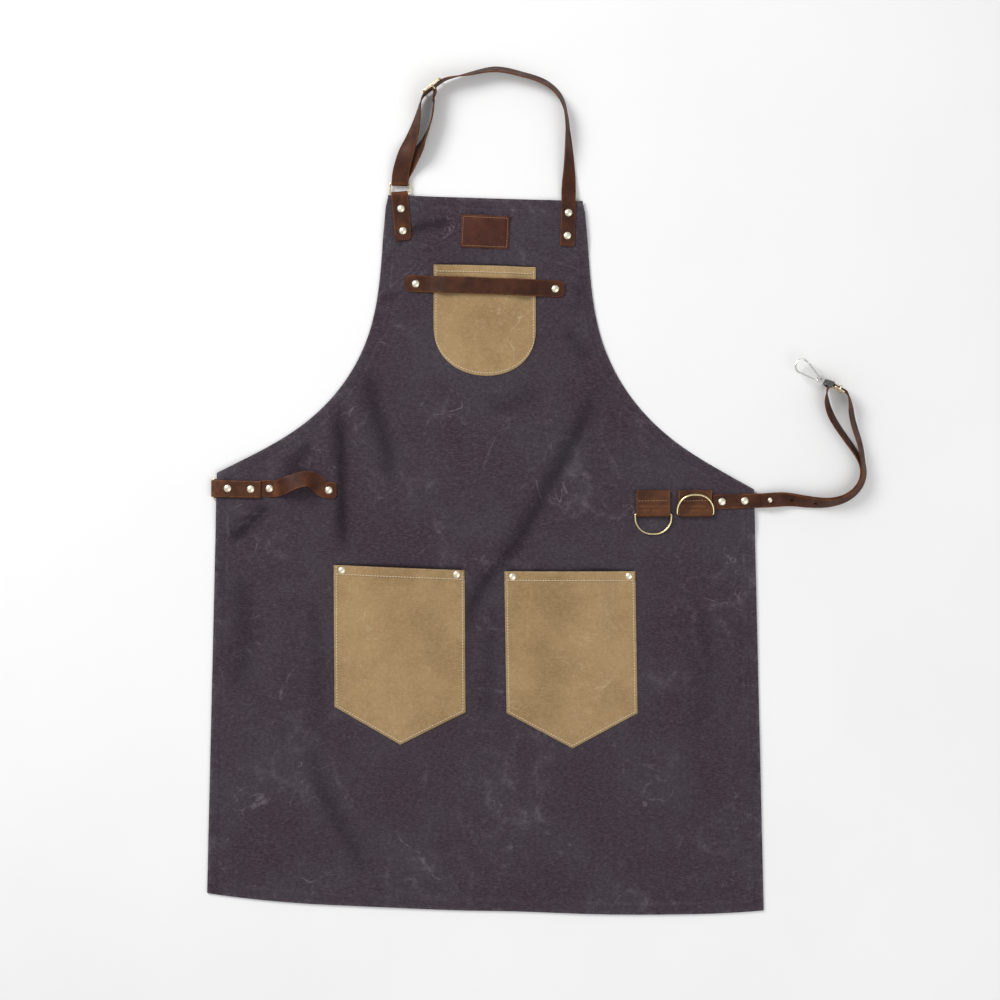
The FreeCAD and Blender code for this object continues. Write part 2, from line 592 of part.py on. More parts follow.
def waist_strap():
    """The doubled strap: its inner layer runs from the bend at the apron's edge to the hook, turns on
    the hook's bar and comes back through the slider, and its outer layer ends on the stud."""
    eye_bar = BOSS - HOOK_DIR * EYE_BAR
    inner = [(EDGE_BEND.x + BEND_GAP, 501.6, EDGE_BEND.z, 0), (347.2, 502.2, EDGE_BEND.z, 0),
             (353.0, 502.6, EDGE_BEND.z, 0), (360.0, 503.2, 6.1, 12), (369.0, 503.5, 6.7, 27),
             (382.0, 502.4, 7.5, 41), (405.0, 500.0, 8.5, 53), (428.0, 501.6, 9.4, 62), (448.0, 511.2, 9.9, 65),
             (459.2, 528.0, 10.2, 66), (459.2, 545.0, 10.3, 66), (448.0, 566.0, 10.3, 63),
             (432.4, 588.0, 10.4, 60), (421.4, 607.0, 10.8, 58), (416.7, 623.0, 12.0, 66),
             (416.6, 634.0, HOOK_Z, 84)]
    wrap_radius = WIRE + GAP + LEATHER / 2
    wrap = []
    for degrees in (180, 150, 120, 90, 60):
        turn = math.radians(degrees)
        wrap.append((eye_bar.x + wrap_radius * math.cos(turn), eye_bar.y + wrap_radius * math.sin(turn),
                     HOOK_Z, 90))
    first = Strap(inner + wrap, (NARROW, NARROW))
    leaving = V(wrap[-1][0], wrap[-1][1], HOOK_Z)
    slide = [leaving - HOOK_DIR * d for d in (2, 11, 20)]
    back = [(p.x, p.y, p.z, 90) for p in slide]
    back += [(443.8, 626.5, 12.6, 103), (446.3, 612.0, 11.4, 116), (450.4, 592.0, 10.6, 119),
             (457.0, 571.0, 10.4, 116)]
    middle, _, _, face = first.at(first.knots[DOUBLED_TO])
    joining = middle + face * PITCH
    joined = (joining.x, joining.y, joining.z, 180 - first.leans[DOUBLED_TO])
    second = Strap(wrap + back + [joined], (NARROW, NARROW))
    joint = first.section(first.knots[len(inner)])
    free = [joint] + [second.section(u) for u in second.spread(longest=7.0)[1:-1]]
    doubled = [first.section(u, PITCH, -1) for u in first.spread(0, DOUBLED_TO)[::-1]]
    outer = Part.makeLoft(free + doubled, True, True)
    for distance in ADJUSTING_HOLES:
        middle, _, _, face = first.along(distance)
        outer = outer.cut(Part.makeCylinder(2.0, 8, middle, face))
    middle, _, _, face = first.along(STUD_AT)
    through = Part.makeCylinder(POST + RUNNING, 16, middle - face * 8, face)
    save("waist_strap_inner", first.solid(last=len(inner)).cut(through))
    save("waist_strap_outer", outer.cut(through))
    slider("waist_slider", slide[1], HOOK_DIR * -1, HOOK_DIR.cross(UP) * -1,
           LEATHER / 2 + SLIDER_CLEAR + SLIDER_WIRE, WAIST_SLIDER_LENGTH, SLIDER_WIRE)
    return first


def stud(strap):
    """A stud screwed through the strap's inner layer, with a ball head that the outer layer buttons over."""
    middle, run, side, face = strap.along(STUD_AT)
    low, high = -LEATHER / 2, LEATHER / 2
    neck_top = high + PITCH + 0.8
    ball = 3.1
    parts = {
        "stud_head": [Part.makeCylinder(3.6, GAP, V(0, 0, high)),
                      Part.makeCylinder(POST, neck_top + 1.5 - high, V(0, 0, high)),
                      Part.makeSphere(ball, V(0, 0, neck_top + ball * 0.8))],
        "stud_screw": [Part.makeCylinder(POST, LEATHER, V(0, 0, low)),
                       Part.makeCylinder(4.0, 1.0, V(0, 0, low - 1.0))],
    }
    for name, pieces in parts.items():
        save(name, place(pieces[0].multiFuse(pieces[1:]).removeSplitter(), middle, run, side * -1))


# --- snap hook ---

ARM = 1.4                  # radius of the hook's wire
BOSS_RADIUS, BOSS_HALF = 4.4, 3.0
PIN = 0.85                 # radius of the gate's pin
GATE_EYE, GATE_HALF = 2.2, 1.0
NOSE = V(22.5, -9.3, 0)    # where the gate shuts on the hook's nose, from the boss
SHANK = 1.5                # radius of the swivel's shank
COLLAR_BACK, COLLAR_FRONT = -8.0, -4.8
PLATE_IN, PLATE_OUT = 10.7, 12.7   # the eye's two plates, above and below the strap's edges


def on_hook(shape):
    return place(shape, BOSS, HOOK_DIR, UP.cross(HOOK_DIR))


def along_x(radius, start, end):
    return Part.makeCylinder(radius, end - start, V(start, 0, 0), V(1, 0, 0))


def swivel_eye():
    """The eye that holds the strap: two plates over its edges, a back web with the swivel's collar,
    and a bar."""
    plan = [(-EYE_BAR - 1.6, -4.4), (-EYE_BAR - 1.6, 4.4),
            (COLLAR_BACK + 1.0, 2.8), (COLLAR_BACK + 1.0, -2.8)]
    parts = [prism(plan, PLATE_IN, PLATE_OUT), prism(plan, -PLATE_OUT, -PLATE_IN),
             Part.makeBox(COLLAR_FRONT - COLLAR_BACK - 1.0, 5.6, 2 * PLATE_OUT,
                          V(COLLAR_BACK, -2.8, -PLATE_OUT)),
             along_x(3.4, COLLAR_BACK, COLLAR_FRONT),
             Part.makeCylinder(WIRE, 2 * PLATE_OUT - 1, V(-EYE_BAR, 0, -PLATE_OUT + 0.5))]
    eye = parts[0].multiFuse(parts[1:]).cut(along_x(SHANK + RUNNING, COLLAR_BACK - 1, COLLAR_FRONT + 1))
    save("hook_swivel_eye", on_hook(eye.removeSplitter()))


def hook_body():
    """The pear-shaped hook: a forked boss, a long arm, a round end and a nose, and the swivel's shank."""
    path = [Part.makeLine(V(-0.6, 3.7, 0), V(24.5, 5.9, 0)),
            Part.Arc(V(24.5, 5.9, 0), V(35.6, -1.2, 0), V(29.5, -10.2, 0)).toShape()]
    end = path[1].valueAt(path[1].LastParameter)
    path.append(Part.makeLine(end, V(NOSE.x + 1.7, NOSE.y - 0.5, 0)))
    parts = []
    for piece in path:
        start = piece.valueAt(piece.FirstParameter)
        circle = Part.Wire(Part.makeCircle(ARM, start, piece.tangentAt(piece.FirstParameter)))
        parts.append(Part.Wire(piece).makePipeShell([circle], True, False))
        parts.append(Part.makeSphere(ARM, piece.valueAt(piece.LastParameter)))
    boss = Part.makeCylinder(BOSS_RADIUS, 2 * BOSS_HALF, V(0, 0, -BOSS_HALF))
    body = boss.multiFuse(parts)
    slot = 3.8
    body = body.cut(Part.makeBox(12, 7.8, slot, V(-2.6, -5.6, -slot / 2 - 0.3)))
    body = body.cut(Part.makeCylinder(PIN, 20, V(0, 0, -10)))
    shank = along_x(SHANK, COLLAR_BACK - GAP - 0.5, -BOSS_RADIUS + 1.2)
    head = along_x(2.4, COLLAR_BACK - GAP - 0.9, COLLAR_BACK - GAP)
    save("hook_body", on_hook(body.multiFuse([shank, head]).removeSplitter()))


def hook_gate():
    """The gate, its pin and the small coil that shuts it."""
    reach = NOSE.Length - 0.2
    eye = Part.makeCylinder(GATE_EYE, 1.7, V(0, 0, -0.2))
    arm = Part.makeBox(reach, 2.2, 2 * GATE_HALF, V(0, -1.1, -GATE_HALF))
    arm = arm.cut(Part.makeCylinder(GATE_EYE + 0.1, 2, V(0, 0, -2.2)))
    gate = eye.fuse(arm).cut(Part.makeCylinder(PIN + RUNNING, 20, V(0, 0, -10))).removeSplitter()
    lie = V(NOSE).normalize()
    gate = place(gate, V(0, 0, 0), lie, UP.cross(lie))
    save("hook_gate", on_hook(gate))
    pin = Part.makeCylinder(PIN, 2 * BOSS_HALF + 0.8, V(0, 0, -BOSS_HALF - 0.4))
    heads = [Part.makeCylinder(1.6, 0.6, V(0, 0, z)) for z in (-BOSS_HALF - 0.6, BOSS_HALF)]
    save("hook_gate_pin", on_hook(pin.multiFuse(heads).removeSplitter()))
    coils = [Part.makeTorus(1.45, 0.3, V(0, 0, z)) for z in (-1.75, -0.8)]
    save("hook_gate_spring", *[on_hook(c) for c in coils])


def main():
    outline = front_outline()
    save("apron_panel", apron_panel(Part.Face(outline)))
    turned_edges(outline)
    hip_pocket("left", -105.5, 419.3, -0.041, -0.006)
    hip_pocket("right", 103.2, 414.8, 0.0, -0.0156)
    chest_pocket()
    patch()
    chest_tool_strap()
    towel_loop()
    neck_tab()
    waist_tab()
    for name, x in D_TABS.items():
        d_ring_tab(name, x)
    flat_straps()
    rivets()
    rings()
    neck_strap()
    neck_strap_end()
    slider("neck_slider", NECK_SLIDER, SLIDER_RUN, SLIDER_RUN.cross(UP), END_BAR_DROP, NECK_SLIDER_LENGTH,
           NECK_SLIDER_WIRE)
    stud(waist_strap())
    swivel_eye()
    hook_body()
    hook_gate()


main()
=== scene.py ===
import math
import random

import bpy
import bmesh
import numpy as np
from mathutils import Matrix, Vector


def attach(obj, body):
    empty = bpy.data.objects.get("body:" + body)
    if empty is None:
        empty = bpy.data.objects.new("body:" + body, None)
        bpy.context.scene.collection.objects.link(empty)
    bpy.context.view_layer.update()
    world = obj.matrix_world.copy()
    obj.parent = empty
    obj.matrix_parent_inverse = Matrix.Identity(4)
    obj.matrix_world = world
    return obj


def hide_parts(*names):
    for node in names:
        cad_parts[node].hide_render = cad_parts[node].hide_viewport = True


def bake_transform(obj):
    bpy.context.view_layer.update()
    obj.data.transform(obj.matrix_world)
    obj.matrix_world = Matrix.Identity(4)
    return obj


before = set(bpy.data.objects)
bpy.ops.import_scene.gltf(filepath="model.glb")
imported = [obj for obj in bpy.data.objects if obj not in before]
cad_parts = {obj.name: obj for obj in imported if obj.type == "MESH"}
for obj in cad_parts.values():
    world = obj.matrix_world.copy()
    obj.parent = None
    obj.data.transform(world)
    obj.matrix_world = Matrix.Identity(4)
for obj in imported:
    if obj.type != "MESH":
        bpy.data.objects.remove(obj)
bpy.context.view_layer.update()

# Butcher apron, laid flat. Lengths here are millimetres in the CAD frame; meshes are written in metres.
MM = 0.001
UP = np.array([0.0, 0.0, 1.0])

# --- the CAD's own dimensions ---
CLOTH = 0.8                                            # canvas thickness
BACK = 4.2                                             # its underside's height over the floor
TOP = BACK + CLOTH
SHEAR = 0.031                                          # how much lower the cloth lies towards +X
LEATHER = 1.8
SKIVED = 1.2                                           # leather thinned to fold round a bar
STRAP, NARROW = 20.4, 17.6                             # strap widths
GAP = 0.3                                              # between a doubled strap's layers
PITCH = LEATHER + GAP
WIRE, SLIDER_WIRE, NECK_SLIDER_WIRE = 1.2, 1.1, 1.3    # wire radii
SLIDER_HALF = 11.9                                     # half a slider's height, to the wire's middle
HOOK_Z = 13.3                                          # middle height of the hook and sliders
NECK_BAR = np.array([-105.0, 876.6, 4.6])
NECK_BEND = np.array([101.6, 870.2, 4.6])
WAIST_BAR = np.array([-332.8, 516.3, 2.55])
HEM_WIDTH, HEM_LAYERS = 12.0, 1.5                      # how wide a hem is, and how thick its turned layers

rng = random.Random(7)


# --- meshes ---

def unit(v):
    v = np.asarray(v, float)
    return v / np.maximum(np.linalg.norm(v, axis=-1, keepdims=True), 1e-12)


def lengths_along(points):
    """The length of a line of points up to each of them."""
    return np.concatenate([[0], np.cumsum(np.linalg.norm(np.diff(points, axis=0), axis=1))])


def arc(radius, degrees):
    return [(radius * math.cos(math.radians(q)), radius * math.sin(math.radians(q))) for q in degrees]


def swept(rings, n, first=0, closed=False):
    """Faces between rings of n points, from the vertex called first, and a cap at each end of an open run."""
    faces = []
    for i in range(rings if closed else rings - 1):
        a, b = first + i * n, first + (i + 1) % rings * n
        faces += [(a + k, a + (k + 1) % n, b + (k + 1) % n, b + k) for k in range(n)]
    if not closed:
        last = first + (rings - 1) * n
        faces += [tuple(range(first, first + n))[::-1], tuple(range(last, last + n))]
    return faces


def link(name, data):
    o = bpy.data.objects.new(name, data)
    bpy.context.scene.collection.objects.link(o)
    return o


def put(o, body, *nodes):
    """The piece moves with a body and stands for the CAD nodes."""
    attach(o, body)
    if nodes:
        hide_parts(*nodes)
    return o


def make(name, verts, faces, material, wear=None, shade=None):
    mesh = bpy.data.meshes.new(name)
    mesh.from_pydata([tuple(float(c) * MM for c in v) for v in verts], [], [tuple(f) for f in faces])
    mesh.validate()
    b = bmesh.new()
    b.from_mesh(mesh)
    bmesh.ops.recalc_face_normals(b, faces=b.faces)
    b.to_mesh(mesh)
    b.free()
    for layer_name, values in (("wear", wear), ("shade", shade)):
        if values is not None:
            layer = mesh.attributes.new(layer_name, "FLOAT", "POINT")
            layer.data.foreach_set("value", np.asarray(values, np.float32))
    mesh.materials.append(material)
    mesh.polygons.foreach_set("use_smooth", [True] * len(mesh.polygons))
    o = link(name, mesh)
    return o


def spline(points, step=2.0, extra=None):
    """Natural cubic through points, by chord length: points about step apart, and extra interpolated."""
    p = np.asarray(points, float)
    t = lengths_along(p)
    n = len(p)
    h = np.diff(t)
    a = np.zeros((n, n))
    rhs = np.zeros((n, p.shape[1]))
    a[0, 0] = a[-1, -1] = 1
    for i in range(1, n - 1):
        a[i, i - 1], a[i, i], a[i, i + 1] = h[i - 1], 2 * (h[i - 1] + h[i]), h[i]
        rhs[i] = 6 * ((p[i + 1] - p[i]) / h[i] - (p[i] - p[i - 1]) / h[i - 1])
    m = np.linalg.solve(a, rhs)
    out, at = [], []
    for i in range(n - 1):
        count = max(1, int(math.ceil(h[i] / step)))
        for k in range(count + (1 if i == n - 2 else 0)):
            s = k / count * h[i]
            r = h[i] - s
            out.append(m[i] * r ** 3 / (6 * h[i]) + m[i + 1] * s ** 3 / (6 * h[i])
                       + (p[i] / h[i] - m[i] * h[i] / 6) * r + (p[i + 1] / h[i] - m[i + 1] * h[i] / 6) * s)
            at.append(t[i] + s)
    return np.array(out) if extra is None else (np.array(out), np.interp(at, t, extra))


def tangents(points, closed=False):
    p = np.asarray(points, float)
    if closed:
        return unit(np.roll(p, -1, 0) - np.roll(p, 1, 0))
    return unit(np.gradient(p, axis=0))


def track(stations, step=2.0):
    """Middle line and side directions of a strap given as (x, y, z, lean) stations, as in the CAD."""
    s = np.asarray(stations, float)
    centre, lean = spline(s[:, :3], step, s[:, 3])
    run = tangents(centre)
    right = unit(np.cross(run, UP))
    above = np.cross(right, run)
    lean = np.radians(lean)[:, None]
    return centre, right * np.cos(lean) - above * np.sin(lean)


def rounding(distance, radius, half):
    """A strap's half width near an end with rounded corners."""
    if distance >= radius:
        return half
    return half - radius + math.sqrt(max(0.0, radius ** 2 - (radius - distance) ** 2))


def section(half, thick):
    """Outline of a strap's section: across it, up from its middle, and 1 on its rounded edges."""
    r = min(0.42 * thick, 0.75)
    points = []
    for sx, sz, start in ((1, 1, 0), (-1, 1, 90), (-1, -1, 180), (1, -1, 270)):
        if sx == -1 and sz == 1:
            flat = [(half - r) * k for k in (0.93, 0.8, 0.4, 0, -0.4, -0.8, -0.93)]
            points += [(x, thick / 2, 0.0) for x in flat]
        if sx == 1 and sz == -1:
            flat = [(half - r) * k for k in (-0.93, -0.4, 0.4, 0.93)]
            points += [(x, -thick / 2, 0.0) for x in flat]
        points += [(sx * (half - r) + a, sz * (thick / 2 - r) + b, 1.0)
                   for a, b in arc(r, [start + 90 * k / 4 for k in range(5)])]
    return points


def ribbon(name, centre, side, material, width=STRAP, thick=LEATHER, ends=(0.0, 0.0), uneven=0.12):
    """A leather strap swept along its middle line. width and thick may change along it; ends round its
    corners."""
    centre, side = np.asarray(centre, float), unit(side)
    run = tangents(centre)
    side = unit(side - run * np.sum(side * run, 1)[:, None])
    face = np.cross(side, run)
    lengths = lengths_along(centre)
    widths = np.broadcast_to(np.asarray(width, float), (len(centre),))
    thicks = np.broadcast_to(np.asarray(thick, float), (len(centre),))
    turn = np.linalg.norm(np.gradient(run, axis=0), axis=1) / np.maximum(np.gradient(lengths), 1e-6)
    bend = np.clip((turn - 0.012) / 0.08, 0, 1)
    verts, wear = [], []
    for i in range(len(centre)):
        near = [(lengths[i], ends[0]), (lengths[-1] - lengths[i], ends[1])]
        half = min(rounding(d, r, widths[i] / 2) if r else widths[i] / 2 for d, r in near)
        half += uneven * (math.sin(lengths[i] * 0.11 + len(name)) + math.sin(lengths[i] * 0.047)) / 2
        for x, z, edge in section(max(half, 0.6), thicks[i]):
            verts.append(centre[i] + side[i] * x + face[i] * z)
            wear.append(max(0.85 * edge, 0.55 * bend[i], 0.35 * (abs(x) / (widths[i] / 2)) ** 10))
    return make(name, verts, swept(len(centre), len(verts) // len(centre)), material, wear)


def crowd(centre, side, radius):
    """A strap's line with its points crowded towards its rounded ends."""
    lengths = lengths_along(centre)
    whole = lengths[-1]
    close = np.array([0, 0.01, 0.04, 0.1, 0.2, 0.35, 0.55, 0.8, 1.0]) * radius
    inner = lengths[(lengths > radius) & (lengths < whole - radius)]
    at = np.concatenate([close, inner, whole - close[::-1]])
    pick = lambda a: np.stack([np.interp(at, lengths, a[:, k]) for k in range(3)], 1)
    return pick(np.asarray(centre, float)), pick(np.asarray(side, float))


def tube(name, points, radius, material, closed=False, sides=20):
    """Round wire along points, with rounded ends where it isn't closed."""
    p = np.asarray(points, float)
    t = tangents(p, closed)
    n = np.cross(t[0], UP)
    if np.linalg.norm(n) < 0.2:
        n = np.cross(t[0], [1.0, 0, 0])
    n = unit(n)
    rings = []
    for i in range(len(p)):
        n = unit(n - t[i] * np.dot(n, t[i]))
        b = np.cross(t[i], n)
        rings.append([p[i] + radius * (n * math.cos(a) + b * math.sin(a))
                      for a in np.linspace(0, 2 * math.pi, sides, endpoint=False)])
    if not closed:
        caps = []
        for end, sign in ((0, -1), (-1, 1)):
            caps.append([[p[end] + (np.array(v) - p[end]) * c + t[end] * sign * radius * s for v in rings[end]]
                         for c, s in arc(1.0, (30, 60, 82))])
        rings = caps[0][::-1] + rings + caps[1]
    verts = [v for ring in rings for v in ring]
    return make(name, verts, swept(len(rings), sides, closed=closed), material)


def lathe(name, places, profile, material, sides=40):
    """Turned pieces: profile is (radius, height) from the axis and back to it, and places are (middle,
    x axis, y axis)."""
    verts, faces = [], []
    for middle, x_axis, y_axis in places:
        z_axis = np.cross(x_axis, y_axis)
        first = len(verts)
        for r, z in profile:
            for k in range(sides):
                a = 2 * math.pi * k / sides
                verts.append(middle + (x_axis * math.cos(a) + y_axis * math.sin(a)) * r + z_axis * z)
        faces += swept(len(profile), sides, first)
    return make(name, verts, faces, material)


def shell(name, top, thick, material, wear, shade=None):
    """A closed sheet under a grid of front points, with rolled edges."""
    rows, cols = top.shape[:2]
    du, dv = np.gradient(top, axis=1), np.gradient(top, axis=0)
    normal = unit(np.cross(du, dv))
    normal[normal[..., 2] < 0] *= -1
    back = top - normal * thick
    verts = [*top.reshape(-1, 3), *back.reshape(-1, 3)]
    n = rows * cols
    at = lambda i, j: i * cols + j
    faces = []
    for i in range(rows - 1):
        for j in range(cols - 1):
            a, b, c, d = at(i, j), at(i, j + 1), at(i + 1, j + 1), at(i + 1, j)
            faces += [(a, b, c, d), (n + d, n + c, n + b, n + a)]
    rim = [(0, j) for j in range(cols)] + [(i, cols - 1) for i in range(1, rows)]
    rim += [(rows - 1, j) for j in range(cols - 2, -1, -1)] + [(i, 0) for i in range(rows - 2, 0, -1)]
    loop = np.array([top[r] for r in rim])
    flat = tangents(loop, True)
    outward = unit(np.cross(flat, [normal[r] for r in rim]))
    if np.sum((loop - loop.mean(0)) * outward) < 0:
        outward *= -1
    middle = (loop + np.array([back[r] for r in rim])) / 2 + outward * thick * 0.4
    first = len(verts)
    verts += list(middle)
    m = len(rim)
    for k in range(m):
        a, b = at(*rim[k]), at(*rim[(k + 1) % m])
        c, d = first + k, first + (k + 1) % m
        faces += [(a, b, d, c), (c, d, n + b, n + a)]
    spread = lambda values: [*values.reshape(-1), *values.reshape(-1), *[values[r] for r in rim]]
    return make(name, verts, faces, material, spread(wear), None if shade is None else spread(shade))


def stitches(name, lines, material, pitch, length, thread, lift):
    """Sewing thread along lines of points on upward surfaces: one small bowed bead for each stitch."""
    verts, faces = [], []
    sides = 6
    bead = ((-0.35, 0.35), (0.3, 0.9), (0.55, 1.05), (0.3, 0.9), (-0.35, 0.35))     # rise and radius
    for points in lines:
        p = np.asarray(points, float)
        s = lengths_along(p)
        for k in range(int(s[-1] / pitch)):
            at = (k + 0.5) * pitch + rng.uniform(-0.12, 0.12)
            spots = [at + length * q for q in (-0.5, -0.3, 0, 0.3, 0.5)]
            mid = np.array([[np.interp(q, s, p[:, c]) for c in range(3)] for q in spots])
            wide = np.cross(UP, unit(mid[-1] - mid[0])) * (1 + rng.uniform(-0.1, 0.1))
            faces += swept(len(bead), sides, len(verts))
            for q, (bow, r) in zip(mid, bead):
                middle = q + UP * (lift + bow * thread)
                for j in range(sides):
                    a = 2 * math.pi * j / sides
                    verts.append(middle + (wide * math.cos(a) * 1.15 + UP * math.sin(a)) * r * thread)
    return put(make(name, verts, faces, material), "apron")


# --- materials ---

class Paint:
    """A Principled material with its nodes."""

    def __init__(self, name, slot, **sockets):
        self.material = bpy.data.materials.new(name)
        self.material["slot"] = slot
        self.material.use_nodes = True
        self.tree = self.material.node_tree
        self.shader = self.tree.nodes["Principled BSDF"]
        self.coord = self.add("TexCoord").outputs["Object"]
        for socket, value in sockets.items():
            self.shader.inputs[socket.replace("_", " ")].default_value = value

    def add(self, kind, inputs=None, **settings):
        node = self.tree.nodes.new("ShaderNode" + kind)
        for key, value in settings.items():
            setattr(node, key, value)
        for key, value in (inputs or {}).items():
            if isinstance(value, bpy.types.NodeSocket):
                self.tree.links.new(value, node.inputs[key])
            else:
                node.inputs[key].default_value = value
        return node

    def stretched(self, x, y, z):
        return self.add("Mapping", {"Vector": self.coord, "Scale": (x, y, z)}).outputs["Vector"]

    def noise(self, scale, detail=4.0, rough=0.55, vector=None, distortion=0.0):
        return self.add("TexNoise", {"Vector": vector or self.coord, "Scale": scale, "Detail": detail,
                                     "Roughness": rough, "Distortion": distortion}).outputs["Fac"]

    def span(self, value, low, high, to_low=0.0, to_high=1.0):
        ends = {"From Min": low, "From Max": high, "To Min": to_low, "To Max": to_high}
        return self.add("MapRange", {"Value": value, **ends}, interpolation_type="SMOOTHSTEP").outputs["Result"]

    def mix(self, factor, first, second):
        return self.add("MixRGB", {"Fac": factor, "Color1": first, "Color2": second}).outputs["Color"]

    def times(self, first, second, operation="MULTIPLY"):
        return self.add("Math", {0: first, 1: second}, operation=operation).outputs["Value"]

    def attribute(self, name):
        return self.add("Attribute", attribute_name=name).outputs["Fac"]

    def colour(self, value):
        self.tree.links.new(value, self.shader.inputs["Base Color"])

    def rough(self, value):
        self.tree.links.new(value, self.shader.inputs["Roughness"])

    def bumps(self, *layers):
        """Bump layers as (height, strength, distance in metres)."""
        normal = None
        for height, strength, distance in layers:
            inputs = {"Height": height, "Strength": strength, "Distance": distance}
            if normal is not None:
                inputs["Normal"] = normal
            normal = self.add("Bump", inputs).outputs["Normal"]
        self.tree.links.new(normal, self.shader.inputs["Normal"])


def srgb(*levels):
    """A linear colour from 0 to 255 levels."""
    return (*[v / 255 / 12.92 if v <= 10 else ((v / 255 + 0.055) / 1.055) ** 2.4 for v in levels], 1.0)


def canvas(name, slot, dark, mid, light, scuff, scuffs, grain):
    """Waxed duck canvas: mottled dye, slubs in the weave, pale crease lines, rubbed edges, and painted shade in the
    folds and above the pocket mouths.
    """
    p = Paint(name, slot, Roughness=0.9, Specular_IOR_Level=0.12, Sheen_Weight=0.04, Sheen_Roughness=0.6)
    clouds = p.span(p.noise(10.0, 6.0, 0.6), 0.34, 0.66)
    colour = p.mix(clouds, dark, mid)
    mottle = p.noise(210.0, 4.0, 0.7)
    colour = p.mix(p.span(mottle, 0.4, 0.68, 0.0, 0.5 * grain), colour, light)
    colour = p.mix(p.span(p.noise(70.0, 4.0, 0.7), 0.3, 0.5, 0.5 * grain, 0.0), colour, dark)
    weft = p.noise(800.0, 3.0, 0.6, p.stretched(0.25, 1.0, 1.0))
    colour = p.mix(p.span(weft, 0.42, 0.66, 0.0, 0.8 * grain), colour, light)
    warp = p.noise(800.0, 3.0, 0.6, p.stretched(1.0, 0.25, 1.0))
    colour = p.mix(p.span(warp, 0.42, 0.66, 0.0, 0.9 * grain), colour, dark)
    veins, fine = [p.span(p.times(p.times(p.noise(*noise), 0.5, "SUBTRACT"), 0.0, "ABSOLUTE"), 0.0, wide, most, 0.0)
                   for noise, wide, most in (((8.5, 3.0, 0.5, None, 1.2), 0.008, 1.0),
                                             ((19.0, 3.0, 0.55, None, 0.9), 0.009, 0.7))]
    broken = p.times(p.span(p.noise(11.0, 4.0, 0.7), 0.46, 0.66), p.span(p.noise(140.0, 3.0, 0.7), 0.38, 0.6))
    lines = p.times(p.times(veins, fine, "MAXIMUM"), broken)
    rubbed = p.times(p.attribute("wear"), p.span(p.noise(90.0, 6.0, 0.8), 0.4, 0.68))
    colour = p.mix(p.times(p.times(lines, rubbed, "MAXIMUM"), scuffs), colour, scuff)
    # the 'shade' attribute mixes the colour towards black: painted shade in the folds and a painted shadow just
    # past each pocket mouth
    colour = p.mix(p.attribute("shade"), colour, (0, 0, 0, 1))
    p.colour(colour)
    threads = [p.add("TexWave", {"Vector": p.coord, "Scale": scale, "Distortion": 1.4, "Detail": 1.0},
                     wave_type="BANDS", bands_direction=way).outputs["Fac"]
               for scale, way in ((330.0, "X"), (300.0, "Y"))]
    p.bumps((p.noise(30.0, 6.0, 0.68), 0.7, 0.0016), (p.noise(170.0, 4.0, 0.7), 0.5, 0.0005),
            (p.times(*threads, "ADD"), 0.35, 0.00025))
    return p.material


def leather(name, slot, dark, mid, worn):
    """Oiled pull-up leather: dark grain that goes orange where it bends and, in places, along its edges."""
    p = Paint(name, slot, Specular_IOR_Level=0.2)
    colour = p.mix(p.span(p.noise(34.0, 6.0, 0.65), 0.36, 0.66), dark, mid)
    colour = p.mix(p.span(p.noise(18.0, 4.0, 0.65, None, 0.8), 0.54, 0.8, 0.0, 0.4), colour, worn)
    pull = p.times(p.attribute("wear"), p.span(p.noise(75.0, 4.0, 0.7), 0.36, 0.66, 0.15, 1.0))
    colour = p.mix(p.times(pull, 0.55), colour, worn)
    marks = p.noise(240.0, 6.0, 0.8, p.stretched(1.0, 0.25, 1.0))
    colour = p.mix(p.span(marks, 0.56, 0.8, 0.0, 0.45), colour, dark)
    p.colour(colour)
    p.rough(p.span(p.noise(60.0, 5.0, 0.6), 0.3, 0.7, 0.42, 0.64))
    pores = p.add("TexVoronoi", {"Vector": p.coord, "Scale": 850.0}, feature="DISTANCE_TO_EDGE")
    p.bumps((p.noise(48.0, 4.0, 0.6), 0.4, 0.0009),
            (p.span(pores.outputs["Distance"], 0.0, 0.12), 0.25, 0.00012),
            (p.noise(900.0, 3.0, 0.6), 0.2, 0.0001))
    return p.material


def metal(name, slot, colour, dull, rough, tarnish=0.5):
    p = Paint(name, slot, Metallic=1.0)
    spots = p.span(p.noise(240.0, 5.0, 0.65), 0.48, 0.76, 0.0, tarnish)
    p.colour(p.mix(spots, colour, dull))
    p.rough(p.span(p.noise(520.0, 4.0, 0.7), 0.3, 0.7, rough * 0.8, rough * 1.3))
    p.bumps((p.noise(1400.0, 3.0, 0.6, p.stretched(1.0, 0.2, 1.0)), 0.12, 0.00005),
            (p.noise(180.0, 2.0, 0.5), 0.15, 0.0002))
    return p.material


def thread(name, slot, colour, shade):
    p = Paint(name, slot, Roughness=0.8)
    p.colour(p.mix(p.span(p.noise(900.0, 3.0, 0.7), 0.35, 0.7), colour, shade))
    p.bumps((p.noise(2600.0, 2.0, 0.6), 0.3, 0.0001))
    return p.material


GREY = (srgb(53, 40, 48), srgb(61, 55, 62), srgb(91, 82, 91), srgb(140, 131, 139))
TAN = (srgb(138, 111, 75), srgb(164, 137, 98), srgb(184, 158, 120), srgb(212, 192, 158))
GREY_CANVAS = canvas("waxed_canvas", "canvas", *GREY, 0.40, 0.5)
GREY_HEM = canvas("waxed_canvas_hem", "canvas_hem", *GREY, 0.40, 0.5)
TAN_CANVAS = canvas("tan_canvas", "pocket_canvas", *TAN, 0.42, 0.35)
STRAP_LEATHER = leather("strap_leather", "strap_leather", srgb(50, 24, 12), srgb(76, 40, 23), srgb(138, 82, 40))
TAB_LEATHER = leather("tab_leather", "tab_leather", srgb(58, 31, 16), srgb(87, 51, 31), srgb(146, 92, 48))
PATCH_LEATHER = leather("patch_leather", "patch_leather", srgb(55, 25, 16), srgb(77, 40, 28), srgb(126, 72, 42))
